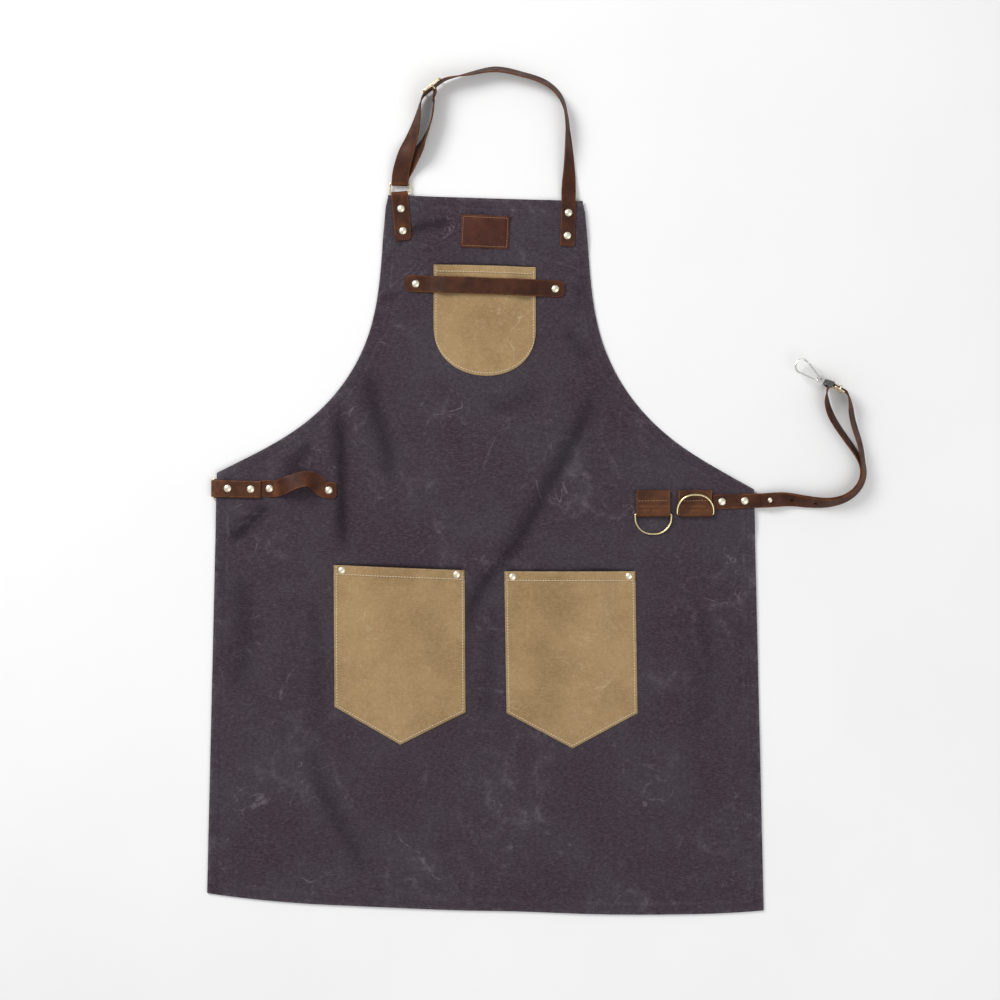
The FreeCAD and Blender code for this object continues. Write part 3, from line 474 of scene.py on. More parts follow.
BRASS = metal("pale_brass", "brass", (1.0, 0.93, 0.74, 1), (0.80, 0.66, 0.40, 1), 0.34, 0.35)
GILT = metal("worn_brass", "brass", (0.86, 0.74, 0.50, 1), (0.42, 0.33, 0.18, 1), 0.26, 0.7)
ANTIQUE = metal("antique_brass", "brass", (0.80, 0.68, 0.38, 1), (0.36, 0.29, 0.14, 1), 0.25)
NICKEL = metal("nickel", "nickel", (0.95, 0.94, 0.92, 1), (0.62, 0.60, 0.58, 1), 0.16)
# near-black nickel for the hook's swivel eye: painted shade that stands in for the shadow the eye lies in
SWIVEL_SHADE_NICKEL = metal("nickel_painted_shade", "nickel", (0.16, 0.16, 0.16, 1), (0.07, 0.07, 0.07, 1), 0.3)
STEEL = metal("spring_steel", "steel", (0.50, 0.49, 0.47, 1), (0.28, 0.27, 0.25, 1), 0.3)
CREAM_THREAD = thread("cream_thread", "pocket_canvas", srgb(226, 212, 184), srgb(200, 182, 150))
GREY_THREAD = thread("grey_thread", "canvas_hem", srgb(70, 59, 68), srgb(48, 40, 46))
TAN_THREAD = thread("tan_thread", "tab_leather", srgb(168, 134, 98), srgb(130, 100, 70))


# --- the canvas: its outline and how it lies ---

ARMHOLE = spline([(125, 815), (128.6, 770), (141.5, 703), (170, 644), (224.5, 586), (281, 550),
                  (328, 525)], 4.0)
SIDE = np.concatenate([[(340.0, 11.0)], ARMHOLE[::-1], [(120.0, 871.0)]])
SIDE = np.concatenate([np.linspace(SIDE[0], SIDE[1], 130)[:-1], SIDE[1:-1],
                       np.linspace(SIDE[-2], SIDE[-1], 15)[1:]])


def half_width(y):
    return np.interp(y, SIDE[:, 1], SIDE[:, 0])


def smooth(value, low, high):
    t = np.clip((value - low) / (high - low), 0, 1)
    return t * t * (3 - 2 * t)


FLAT_PLACES = [  # where fittings hold the canvas flat: left, right, low, high
    (-123, -92, 812, 890), (86, 118, 806, 890), (-33, 33, 804, 856), (-106, 106, 746, 780),
    (-66, 66, 650, 792), (-345, -270, 496, 534), (-275, -178, 498, 532), (276, 345, 486, 518),
    (180, 282, 458, 520), (-192, -22, 196, 426), (16, 190, 192, 422)]
EDGE_PLACES = [(-130, -86, 830, 900), (84, 124, 830, 900), (-350, -290, 488, 542), (290, 350, 478, 524)]


def away_from(places, x, y, reach):
    """0 inside any of the places, and 1 further than reach from them all."""
    free = np.ones_like(x)
    for left, right, low, high in places:
        dx = np.maximum(np.maximum(left - x, x - right), 0)
        dy = np.maximum(np.maximum(low - y, y - high), 0)
        free = free * smooth(np.hypot(dx, dy), 0.0, reach)
    return free


def waves(seed, count, shortest, longest):
    draw = random.Random(seed)
    made = []
    for _ in range(count):
        length = draw.uniform(shortest, longest)
        turn = draw.uniform(0, math.pi)
        made.append((2 * math.pi / length * math.cos(turn), 2 * math.pi / length * math.sin(turn),
                     draw.uniform(0, 2 * math.pi)))
    return made


BROAD, BEND = waves(3, 7, 110, 330), waves(11, 6, 60, 150)
RIDGE, PATCH = waves(23, 7, 45, 140), waves(5, 5, 90, 260)
FOLDS = [  # (points along it, half width, height, how dark its painted shade is): valleys are negative
    ([(146, 655), (120, 600), (88, 540), (50, 470), (22, 428), (-14, 378), (-22, 300)], 11, -2.6, 0.5),
    ([(128, 672), (96, 712)], 9, -1.2, 0.25),
    ([(-180, 628), (-177, 560), (-176, 500), (-174, 432)], 9, -2.8, 0.6),
    ([(-146, 670), (-134, 610), (-120, 560), (-114, 520)], 12, -2.2, 0.42),
    ([(-262, 500), (-286, 476), (-318, 448)], 10, -2.6, 0.55),
    ([(-216, 575), (-228, 552), (-246, 536)], 10, -1.6, 0.4),
    ([(-114, 808), (-92, 832), (-64, 838), (-34, 846)], 7, -1.8, 0.5),
    ([(-128, 748), (-108, 752)], 7, -1.2, 0.3),
    ([(-216, 212), (-200, 150), (-170, 90), (-142, 32)], 12, -1.6, 0.3),
    ([(-300, 420), (-296, 330), (-304, 260)], 16, -1.6, 0.28),
    ([(-252, 400), (-246, 320), (-258, 240), (-262, 180)], 14, 1.9, 0.0),
    ([(-210, 390), (-205, 300), (-206, 190)], 10, -1.2, 0.22),
    ([(-2, 612), (34, 622), (68, 634)], 12, -1.0, 0.22),
    ([(178, 600), (200, 540), (176, 470)], 10, 1.3, 0.0),
    ([(6, 380), (4, 300), (-4, 220)], 11, -1.4, 0.25),
    ([(226, 400), (232, 320), (222, 250)], 14, 1.8, 0.0),
    ([(262, 380), (270, 300), (258, 200)], 15, -1.2, 0.16),
    ([(-40, 180), (-10, 150), (24, 190)], 9, 1.1, 0.0),
    ([(60, 120), (130, 90), (180, 60)], 14, 1.1, 0.0),
    ([(-60, 560), (-20, 520), (30, 510)], 16, 1.2, 0.0),
    ([(118, 770), (112, 730)], 8, -1.0, 0.2)]
FOLD_DEPTH = 1.5
POCKETS = [  # middle, mouth, slope, half width, depth
    (-105.5, 419.3, -0.041, 80.0, 170.0), (103.2, 414.8, 0.0, 80.0, 170.0), (-0.9, 788.3, -0.028, 62.5, 70.0)]


def total(set_of_waves, x, y):
    return sum(np.sin(a * x + b * y + c) for a, b, c in set_of_waves) / len(set_of_waves)


def folds(x, y):
    """Height and painted shade of the named folds at points of the laid apron."""
    height, dark = np.zeros_like(x), np.zeros_like(x)
    for points, wide, tall, shade in FOLDS:
        line = spline(points, 12.0) if len(points) > 2 else np.array(points, float)
        near = np.full_like(x, 1e9)
        along = np.zeros_like(x)
        for k, (a, b) in enumerate(zip(line, line[1:])):
            d = b - a
            t = np.clip(((x - a[0]) * d[0] + (y - a[1]) * d[1]) / (d @ d), 0, 1)
            far = np.hypot(x - a[0] - t * d[0], y - a[1] - t * d[1])
            along = np.where(far < near, (k + t) / (len(line) - 1), along)
            near = np.minimum(near, far)
        fade = smooth(along, -0.02, 0.22) * smooth(-along, -1.02, -0.78)
        height = height + FOLD_DEPTH * tall * np.exp(-(near / wide) ** 2) * fade
        dark = np.maximum(dark, shade * np.exp(-(near / (0.9 * wide)) ** 2) * fade)
    return height, dark


def lie(x, y):
    """The canvas front's height over the floor, how creased it is and how much shade is painted on it, at points
    given without the cloth's pull."""
    wx, wy = x + 9 * total(BEND, x, y), y + 9 * total(BEND, y, x)
    free = away_from(FLAT_PLACES, x, y - SHEAR * x, 26.0)
    height = 1.7 * total(BROAD, wx, wy) + 0.5 * total(BEND, wx, wy)
    fold, dark = folds(x, y - SHEAR * x)
    height = height + fold
    ridge = 1 - np.abs(total(RIDGE, wx, wy)) * 5.5
    crease = np.clip(ridge, 0, 1) ** 2 * smooth(total(PATCH, x, y), 0.05, 0.4)
    height = height + 0.5 * crease
    edge, along = edge_distance(x, y)
    stitch_line = np.exp(-((edge - 10.5) / 1.4) ** 2)
    pucker = 0.22 * np.sin(along / 2.1) * np.exp(-((edge - 8) / 7) ** 2) * (0.6 + 0.4 * np.sin(along / 17))
    settle = (1 - smooth(edge, 0.0, 42.0)) * away_from(EDGE_PLACES, x, y - SHEAR * x, 30.0)
    near_edge = smooth(edge, 2.0, 30.0)
    z = TOP + free * height * (0.25 + 0.75 * near_edge) - 2.35 * settle - 0.32 * stitch_line * free
    z = z + pucker * free
    return np.maximum(z, CLOTH + HEM_LAYERS + 0.12), crease, dark


def edge_distance(x, y):
    """Distance in from the outline, and a length that runs along it."""
    slope = np.interp(y, SIDE[:, 1], np.gradient(SIDE[:, 0]) / np.maximum(np.gradient(SIDE[:, 1]), 0.05))
    side = (half_width(y) - np.abs(x)) / np.sqrt(1 + slope ** 2)
    low, high = y - bottom_edge(x), 871.0 - y
    edge = np.minimum(np.minimum(side, low), high)
    along = np.where(edge == side, y * np.sqrt(1 + slope ** 2), x)
    return np.maximum(edge, 0), along


def bottom_edge(x):
    return 11.0 * (np.abs(x) / 340.0) ** 3.75 + 0.5 * np.sin(x / 31.0) * (1 - np.abs(x) / 340.0)


def pulled(x, y, z):
    """Points with the cloth's pull, which lies lower towards +X."""
    return np.stack([x, y - SHEAR * x, z], -1)


def canvas_front():
    u = np.linspace(-1, 1, 193)
    rows = SIDE[:, 1][:, None]
    x = u[None, :] * SIDE[:, 0][:, None]
    fade = 1 - smooth(rows, 0.0, 160.0)
    y = rows + (bottom_edge(x) - 11.0) * fade
    corner = 6.0                                           # the bib's rounded corners
    into = np.maximum(np.abs(x) - (half_width(y) - corner), 0)
    y = y - np.where(y > 860, corner - np.sqrt(np.maximum(corner ** 2 - into ** 2, 0)), 0) * smooth(y, 858, 871)
    z, crease, dark = lie(x, y)
    edge, _ = edge_distance(x, y)
    wear = np.clip(0.7 * crease + 0.8 * np.exp(-edge / 1.2) + 0.3 * np.exp(-((edge - 12.5) / 1.3) ** 2), 0, 1)
    real_y = y - SHEAR * x
    for middle, mouth, slope, half, deep in POCKETS:        # painted shadow under a pocket and just past its mouth
        v = real_y - mouth - slope * (x - middle)
        pocket_shadow_area = smooth(-np.abs(x - middle), -half, -half + 5) * smooth(v, -deep, -deep + 6)
        dark = np.maximum(dark, 0.6 * pocket_shadow_area * smooth(-v, -3.6, -2.2))
    # dark goes into the canvas's 'shade' attribute as painted shade in the folds and painted shadow at the pocket
    # mouths
    front = shell("canvas_front", pulled(x, y, z), CLOTH, GREY_CANVAS, wear, dark)
    return put(front, "apron", "apron_panel")


def rim_points():
    """The outline as runs of points from the bottom left, clockwise, one run for each hem."""
    bottom_x = np.linspace(-340, 340, 171)
    waist = np.searchsorted(SIDE[:, 1], 519.0)
    shoulder = np.searchsorted(SIDE[:, 1], 859.0)
    side = lambda sign, part: np.stack([sign * part[:, 0], part[:, 1]], 1)
    top = np.linspace(-119.2, 119.2, 61)
    return {
        "bottom_hem": np.stack([bottom_x, bottom_edge(bottom_x)], 1)[::-1],
        "side_hem_left": side(-1, SIDE[:waist + 1]),
        "armhole_hem_left": side(-1, SIDE[waist:shoulder + 1]),
        "bib_hem": np.stack([top, np.full_like(top, 871.0)], 1),
        "armhole_hem_right": side(1, SIDE[waist:shoulder + 1])[::-1],
        "side_hem_right": side(1, SIDE[:waist + 1])[::-1],
    }


def inward(points):
    """Unit directions into the cloth along a clockwise run of the outline."""
    t = tangents(points)
    return np.stack([t[:, 1], -t[:, 0]], 1)


def hem(name, points):
    """A turned edge: two folded layers under the canvas, with the rolled fold along the outline."""
    n = inward(points)
    profile = [(-0.55, -0.1), (-0.75, -0.8), (-0.62, -1.5), (-0.2, -2.05), (1.0, -CLOTH - HEM_LAYERS),
               (5.0, -CLOTH - HEM_LAYERS - 0.03), (HEM_WIDTH - 1.0, -CLOTH - HEM_LAYERS),
               (HEM_WIDTH, -CLOTH - 1.2), (HEM_WIDTH + 0.1, -CLOTH - 0.5),
               (HEM_WIDTH - 0.6, -CLOTH - 0.02), (5.0, -CLOTH - 0.02),
               (0.6, -CLOTH - 0.02), (0.3, -0.35), (0.25, 0.02), (-0.1, 0.08)]
    verts, wear = [], []
    offsets = np.maximum([off for off, _ in profile], 0.3)
    heights = lie(points[:, :1] + n[:, :1] * offsets, points[:, 1:] + n[:, 1:] * offsets)[0]
    for i, ((x, y), d) in enumerate(zip(points, n)):
        for k, (off, drop) in enumerate(profile):
            verts.append(pulled(x + d[0] * off, y + d[1] * off, heights[i, k] + drop))
            wear.append(0.8 if off < 0.5 else 0.0)
    faces = swept(len(points), len(profile))
    return put(make(name + "_fold", verts, faces, GREY_HEM, wear), "apron", name)


def hem_line(points, distance):
    p = points + inward(points) * distance
    return pulled(p[:, 0], p[:, 1], lie(p[:, 0], p[:, 1])[0])


# --- pockets ---

def pocket(cad, centre, half, across, foot, pull, open_by, seam, hem_deep):
    """An open pocket: folded edges sewn to the canvas, a front that swells towards the mouth, and a turned
    hem at the mouth. across has places across it, foot gives its lowest point at each, pull its lean."""
    name = cad + "_front"
    low = foot(across)
    t = np.concatenate([np.linspace(0, 0.06, 7)[:-1], np.linspace(0.06, 0.9, 56)[:-1],
                        np.linspace(0.9, 1, 22)])
    u, v = np.broadcast_to(across, (len(t), len(across))), low[None, :] * (1 - t[:, None])
    side = np.minimum(half - np.abs(u), v - low[None, :])
    mouth = smooth(v, low.min() * 0.8, 0.0)
    swell = smooth(side, seam * 0.55, half * 0.62) * (0.18 + 0.82 * mouth)
    ripple = 0.5 * total(BROAD, u * 2.2 + centre, v * 2.2) + 0.35 * total(BEND, u * 1.5, v * 1.5 + centre)
    fold = 1.5 * np.exp(-((side - 3.2) / 3.4) ** 2 * 0.5)
    sewn = -0.45 * np.exp(-((side - 3.0) / 0.8) ** 2)
    hem_step = 0.75 * smooth(v, -hem_deep - 0.7, -hem_deep + 0.5)
    hem_sewn = -0.35 * np.exp(-((v + hem_deep) / 0.8) ** 2)
    droop = -1.5 * smooth(np.abs(u), 0, half) ** 2 * mouth
    z = TOP + CLOTH + open_by * swell + smooth(side, 4, 30) * ripple * 1.2 + fold * 0.4 + sewn
    z = z + hem_step + hem_sewn + droop * smooth(side, 4, 20)
    z = np.maximum(z, TOP + CLOTH + 0.1)
    z = np.where(side < 0.8, TOP + CLOTH + 0.15 + 0.6 * np.sqrt(np.clip(side / 0.8, 0, 1)), z)
    x, y = pull(u, v)
    wear = 0.8 * np.exp(-side / 1.1) + 0.7 * np.exp(v / 1.2) + 0.25 * np.exp(-((v + hem_deep) / 1.5) ** 2)
    wear = np.clip(wear, 0, 1)
    front = np.stack([x, y, z], -1)
    o = put(shell(name, front, CLOTH * 0.95, TAN_CANVAS, wear), "apron", cad)
    # the turned hem behind the mouth
    inner = np.abs(across) < half - 2.0
    part = v[:, len(across) // 2] > -hem_deep
    band = front[part][:, inner].copy()
    band[..., 2] -= CLOTH * 0.95 + 0.05
    turned = put(shell(name + "_turned_hem", band, CLOTH * 0.9, TAN_CANVAS, wear[part][:, inner]),
                 "apron", cad + "_hem")
    # stitches: round three sides, and along the hem
    sewn_half = half - 3.0
    xs = np.concatenate([[-sewn_half], across[np.abs(across) <= sewn_half], [sewn_half]])
    lows = foot(xs) + 3.3
    path = [(-sewn_half, q) for q in np.linspace(-1.0, lows[0], 40)] + list(zip(xs, lows))
    path += [(sewn_half, q) for q in np.linspace(lows[-1], -1.0, 40)]
    on_front = lambda a, b: (*pull(a, b), height_at(front, u, v, a, b))
    lines = [[on_front(a, b) for a, b in path],
             [on_front(a, 1.2 - hem_deep) for a in np.linspace(-sewn_half, sewn_half, 60)]]
    sewing = stitches(name + "_stitches", lines, CREAM_THREAD, 3.6, 2.7, 0.42, 0.14)


def height_at(front, u, v, a, b):
    """Height of a grid's front at (a, b), from its nearest points."""
    distance = (u - a) ** 2 + (v - b) ** 2
    near = np.argsort(distance.ravel())[:4]
    weight = 1 / (distance.ravel()[near] + 0.05)
    return float((front[..., 2].ravel()[near] * weight).sum() / weight.sum())


def pockets():
    columns = np.concatenate([np.linspace(-80, -72, 9)[:-1], np.linspace(-72, 72, 59),
                              np.linspace(72, 80, 9)[1:]])
    for name, cx, top, slope, lean in (("left", -105.5, 419.3, -0.041, -0.006),
                                       ("right", 103.2, 414.8, 0.0, -0.0156)):
        pocket(f"hip_pocket_{name}", cx, 80.0, columns, lambda q: -216.0 + 43.0 * np.abs(q) / 80.0,
               lambda u, v: (cx + u + lean * v, top + v + slope * u),
               5.2, 14.0, 12.0)
    turn = np.linspace(0, math.pi, 61)
    pocket("chest_pocket", -0.9, 62.5, -62.5 * np.cos(turn),
           lambda q: -74.0 - 60.0 * np.clip(1 - (q / 62.5) ** 2, 0, 1) ** 0.425,
           lambda u, v: (u - 0.9, 788.3 + v - 0.028 * u), 5.4, 6.0, 9.0)


# --- leather ---

def joined(*runs):
    return np.concatenate([r[0] for r in runs]), np.concatenate([r[1] for r in runs])


def circle_run(middle, start, turn_axis, degrees, side, steps=12):
    """Points turned about an axis through middle, from a start offset."""
    turns = [Matrix.Rotation(math.radians(degrees) * k / steps, 3, Vector(turn_axis)) for k in range(steps + 1)]
    centre = np.array([middle + np.array(turn @ Vector(start)) for turn in turns])
    return centre, np.broadcast_to(unit(side), centre.shape)


def sewn_strap(name, run, node, material=None, **options):
    put(ribbon(name, *run, material or STRAP_LEATHER, **options), "apron", node)


def neck_tab():
    """Folded over the bib's edge round the ring's bar, with both ends riveted."""
    up_tab = unit(np.array([-103.3 + 100.9, 858.5 - 831.4, 0.0]))
    right = np.cross(up_tab, UP)
    half = CLOTH / 2 + LEATHER / 2
    wrap = WIRE + LEATHER / 2 + 0.05
    path = [(-57, half), (-45, half), (-30, half), (-18, half + 0.05), (-10, half + 0.35), (-4, wrap - 0.15)]
    path += [(b, a) for a, b in arc(wrap, range(0, 181, 15))]
    path += [(-4, 0.15 - wrap), (-10, -half - 0.35), (-18, -half - 0.05), (-30, -half), (-57, -half)]
    centre = spline([NECK_BAR + up_tab * a + UP * b for a, b in path], 1.5)
    run = crowd(centre, np.broadcast_to(right, centre.shape), 5.0)
    sewn_strap("neck_tab_leather", run, "neck_tab", ends=(5.0, 5.0))


def d_ring_tab(name, x):
    """A wide tab folded round its D-ring's bar and sewn across."""
    bar = TOP + WIRE + LEATHER + 0.05
    wrap = WIRE + LEATHER / 2 + 0.05
    low, high = TOP + LEATHER / 2 - bar, TOP + LEATHER * 1.5 - bar
    path = [(29.4, low), (20, low), (10, low), (4, low)]
    path += [(-b, -a) for a, b in arc(wrap, range(0, 181, 15))]
    path += [(4, wrap - 0.1), (9, high + 0.25), (14, high), (16.4, high - 0.12), (19, high), (24, high),
             (29.4, high)]
    centre = spline([(x, 485.0 + a, bar + b) for a, b in path], 1.2)
    run = crowd(centre, np.broadcast_to([1.0, 0.0, 0.0], centre.shape), 1.6)
    sewn_strap(f"d_ring_tab_{name}_leather", run, f"d_ring_tab_{name}", TAB_LEATHER, width=41.2,
               ends=(1.6, 1.6), uneven=0.3)
    row = [(x + q, 501.4 + 0.3 * math.sin(q / 7), TOP + 2 * LEATHER - 0.1)
           for q in np.linspace(-18.5, 18.5, 20)]
    stitches(f"d_ring_tab_{name}_stitches", [row], TAN_THREAD, 3.6, 2.6, 0.4, 0.14)


def waist_tab():
    """The left tab: round the ring's bar behind the edge, and back over the canvas in two layers."""
    wrap = WIRE + SKIVED / 2 + 0.05
    x0, z0 = WAIST_BAR[0], WAIST_BAR[2]
    path = [(-274.5, 5.95), (-290, 5.95), (-312, 5.95), (-324, 5.9), (-329.4, 5.4), (x0 + wrap + 0.1, 3.6)]
    path += [(x0 + a, z0 - b) for a, b in arc(wrap, range(0, 181, 20))]
    path += [(x0 - wrap - 0.2, 4.2), (x0 - 0.6, 6.4), (-328.0, 7.55), (-318, 7.78), (-300, 7.78),
             (-274.5, 7.78)]
    centre = spline([(a, 516.3 - 0.02 * (a - x0), b) for a, b in path], 1.3)
    near = np.exp(-((centre[:, 0] - x0) / 5.0) ** 2) * smooth(-centre[:, 2], -7.0, -4.5)
    side = np.broadcast_to([0.0, 1.0, 0.0], centre.shape)
    sewn_strap("waist_tab_leather", (centre, side), "waist_tab", TAB_LEATHER,
               thick=LEATHER - (LEATHER - SKIVED) * near)


def chest_tool_strap():
    flat, crest = TOP + LEATHER / 2, TOP + CLOTH + 6.0 + 1.0
    path = [(-98.6, 767.2, flat), (-88, 766.8, flat), (-78, 766.5, flat), (-66, 766.0, flat + 1.0),
            (-52, 765.5, crest - 1.7), (-36, 765.0, crest - 0.3), (0, 763.6, crest + 0.5),
            (36, 762.3, crest - 0.2), (52, 761.7, crest - 1.7), (66, 761.2, flat + 1.0), (78, 760.8, flat),
            (88, 760.4, flat), (96.8, 760.1, flat)]
    centre = spline(path, 2.0)
    centre[:, 2] = np.maximum(centre[:, 2], flat)
    side = unit(np.cross(tangents(centre), UP))
    sewn_strap("chest_tool_strap_leather", crowd(centre, side, 7.0), "chest_tool_strap", ends=(7.0, 7.0))


def towel_loop():
    flat = TOP + LEATHER / 2
    stations = [(-274.0, 516.7, flat, 0), (-264.0, 516.3, flat, 0), (-257.5, 516.2, flat + 0.2, -2),
                (-247.5, 519.0, flat + 6.0, -12), (-232.0, 525.0, flat + 13.0, -24),
                (-216.0, 527.8, flat + 12.5, -24), (-205.0, 522.5, flat + 6.0, -12),
                (-197.5, 515.6, flat + 0.2, -2), (-191.6, 514.3, flat, 0), (-182.0, 513.9, flat, 0)]
    centre, side = track(stations, 1.5)
    centre[:, 2] = np.maximum(centre[:, 2], flat)
    sewn_strap("towel_loop_leather", crowd(centre, side, 5.0), "towel_loop", ends=(1.5, 5.0))


def patch():
    """A blank leather patch with a sewn edge."""
    columns = np.concatenate([[-29.6, -29.3, -28.6, -27.5], np.linspace(-26, 26, 27), [27.5, 28.6, 29.3, 29.6]])
    rows = np.concatenate([[-20, -19.7, -19, -18], np.linspace(-17, 17, 19), [18, 19, 19.7, 20]])
    u, v = np.meshgrid(columns, rows)
    corner = 2.2
    du, dv = np.maximum(np.abs(u) - (29.6 - corner), 0), np.maximum(np.abs(v) - (20 - corner), 0)
    scale = np.where(np.hypot(du, dv) > corner, corner / np.maximum(np.hypot(du, dv), 1e-9), 1)
    u = np.sign(u) * (np.minimum(np.abs(u), 29.6 - corner) + du * scale)
    v = np.sign(v) * (np.minimum(np.abs(v), 20 - corner) + dv * scale)
    edge = np.minimum(29.6 - np.abs(u), 20 - np.abs(v))
    z = 1.5 + 0.35 * smooth(edge, 0, 9) - 0.3 * np.exp(-((edge - 2.3) / 0.6) ** 2) - 0.5 * np.exp(-edge / 0.35)
    z = z + 0.12 * total(BEND, u * 3, v * 3)
    turn = math.radians(-2.5)
    turned = lambda a, b, h: np.stack([-0.5 + a * math.cos(turn) - b * math.sin(turn),
                                       830.2 + a * math.sin(turn) + b * math.cos(turn), TOP + h], -1)
    wear = np.clip(np.exp(-edge / 0.9) + 0.3 * smooth(u, 14, 20) * smooth(-u, -27, -20), 0, 1)
    put(shell("leather_patch_blank", turned(u, v, z), 1.4, PATCH_LEATHER, wear), "apron", "leather_patch")
    a, b = 27.2, 17.6
    loop = np.array([(-a, -b), (a, -b), (a, b), (-a, b), (-a, -b)])
    path = np.concatenate([np.linspace(p, q, 24)[:-1] for p, q in zip(loop, loop[1:])])
    line = turned(path[:, 0], path[:, 1], np.full(len(path), 1.45))
    stitches("leather_patch_stitches", [line], TAN_THREAD, 2.9, 2.1, 0.3, 0.12)


# --- rivets, rings and sliders ---

RIVETS = {
    "neck_tab_rivets": ([(-103.3, 858.5), (-100.9, 831.4)], BACK - LEATHER, TOP + LEATHER),
    "neck_strap_rivets": ([(101.6, 853.5), (100.2, 825.5)], BACK, TOP + LEATHER),
    "chest_strap_rivets": ([(-85.3, 766.6), (85.4, 760.4)], BACK, TOP + LEATHER),
    "waist_tab_rivets": ([(-315.1, 516.5), (-286.8, 515.6)], BACK, TOP + 2 * LEATHER),
    "towel_loop_rivets": ([(-264.1, 516.3), (-191.6, 514.3)], BACK, TOP + LEATHER),
    "hip_pocket_rivets_left": ([(-176.0, 416.4), (-35.0, 411.1)], BACK, TOP + CLOTH),
    "hip_pocket_rivets_right": ([(33.0, 408.2), (175.7, 409.0)], BACK, TOP + CLOTH),
    "waist_strap_rivets": ([(289.3, 500.2), (317.0, 501.2)], BACK, TOP + LEATHER),
}


def rivets():
    """Pressed rivets: a thin rolled rim under a domed cap, a post, and a flat back cap."""
    for name, (spots, bottom, top) in RIVETS.items():
        places = []
        for x, y in spots:
            tip = rng.uniform(-0.05, 0.05)
            x_axis = unit(np.array([1.0, 0.0, tip]))
            y_axis = unit(np.cross(np.array([-tip, rng.uniform(-0.04, 0.04), 1.0]), x_axis))
            places.append((np.array([x, y, top]), x_axis, y_axis))
        low = bottom - top
        profile = [(1.2, low - 1.2), (3.9, low - 1.2), (4.15, low - 0.9), (4.1, low - 0.1), (1.4, low),
                   (1.4, -0.15), (4.0, -0.15), (4.4, 0.0), (4.5, 0.25), (4.42, 0.5), (4.2, 0.62),
                   (4.05, 0.72), (3.75, 1.02), (3.2, 1.38), (2.5, 1.68), (1.7, 1.88), (0.9, 1.98), (0.25, 2.0)]
        put(lathe(name + "_brass", places, profile, BRASS), "apron", name)


def ring_points(half, height, near, far):
    """A closed ring's line in its own plane, with its straight bar on X."""
    points = []
    corners = [(-half, 0, near, 180), (half, 0, near, 270), (half, height, far, 0), (-half, height, far, 90)]
    for x, y, r, start in corners:
        cx, cy = x - math.copysign(r, x), y + (r if y == 0 else -r)
        points += [(cx + a, cy + b) for a, b in arc(r, [start + 9.0 * k for k in range(11)])]
    dense = []
    for a, b in zip(points, points[1:] + points[:1]):
        n = max(1, int(math.dist(a, b) / 2.5))
        dense += [(a[0] + (b[0] - a[0]) * k / n, a[1] + (b[1] - a[1]) * k / n) for k in range(n)]
    return dense


def ring(name, origin, x_axis, y_axis, shape, wire, body, material):
    line = [origin + x_axis * a + y_axis * b for a, b in ring_points(*shape)]
    put(tube(name + "_wire", line, wire, material, closed=True), body, name)


X, Y = np.array([1.0, 0, 0]), np.array([0, 1.0, 0])
NECK_ALONG = unit(NECK_BEND - NECK_BAR)
UP_BIB = np.cross(UP, NECK_ALONG)


def rings():
    for name, x, swing in (("inner", 205.0, 183.7), ("outer", 256.4, 13.0)):
        turn = math.radians(swing)
        lie_of = np.array([0, math.cos(turn), math.sin(turn)])
        ring(f"d_ring_{name}", np.array([x, 485.0, TOP + WIRE + 0.05 + LEATHER]), X, lie_of,
             (22.1, 24.2, 1.5, 20.0), WIRE, f"d_ring_{name}", ANTIQUE)
    ring("neck_ring", NECK_BAR, NECK_ALONG, UP_BIB, (12.0, 12.9, 1.7, 1.7), WIRE, "neck_loop", GILT)
    droop = math.asin((WAIST_BAR[2] - WIRE - 0.05) / 19.0)
    ring("waist_ring", WAIST_BAR, -Y, np.array([math.cos(droop), 0, -math.sin(droop)]),
         (12.0, 19.0, 1.7, 8.0), WIRE, "waist_ring", GILT)


def slider(name, middle, run, face, bar_drop, length, wire):
    """A wire frame over an upright strap's face, and a centre bar that passes its edges and crosses
    behind it."""
    rise = LEATHER / 2 + 0.5 + wire
    start = middle + face * rise - run * length / 2
    line = [start + UP * a + run * b for a, b in ring_points(SLIDER_HALF, length, 2.2, 2.2)]
    put(tube(name + "_frame_wire", line, wire, GILT, closed=True), name, name + "_frame")
    top = middle + face * rise
    drop = -face * (rise + bar_drop)
    corner = 1.6
    points = [top + UP * SLIDER_HALF + drop * 0.05]
    for sign in (1, -1):
        knee = top + UP * SLIDER_HALF * sign + drop
        into, out = -unit(drop) * corner, -UP * sign * corner
        bend = [knee + into * (1 - math.sin(q)) + out * (1 - math.cos(q))
                for q in np.linspace(0, math.pi / 2, 7)]
        points += bend if sign == 1 else bend[::-1]
    points.append(top - UP * SLIDER_HALF + drop * 0.05)
    put(tube(name + "_bar_wire", spline(points, 1.2), SLIDER_WIRE, GILT), name, name + "_bar")


# --- neck loop ---

SLIDER_RUN = unit(np.array([-0.79, -0.613, 0]))
NECK_SLIDER = np.array([-63.8, 1005.0, HOOK_Z])
END_RUN = unit(np.array([-0.12, -0.99, 0]))
END_BAR_DROP = LEATHER / 2 + GAP + SKIVED + 0.05 + SLIDER_WIRE
TURN = WIRE + GAP + LEATHER / 2


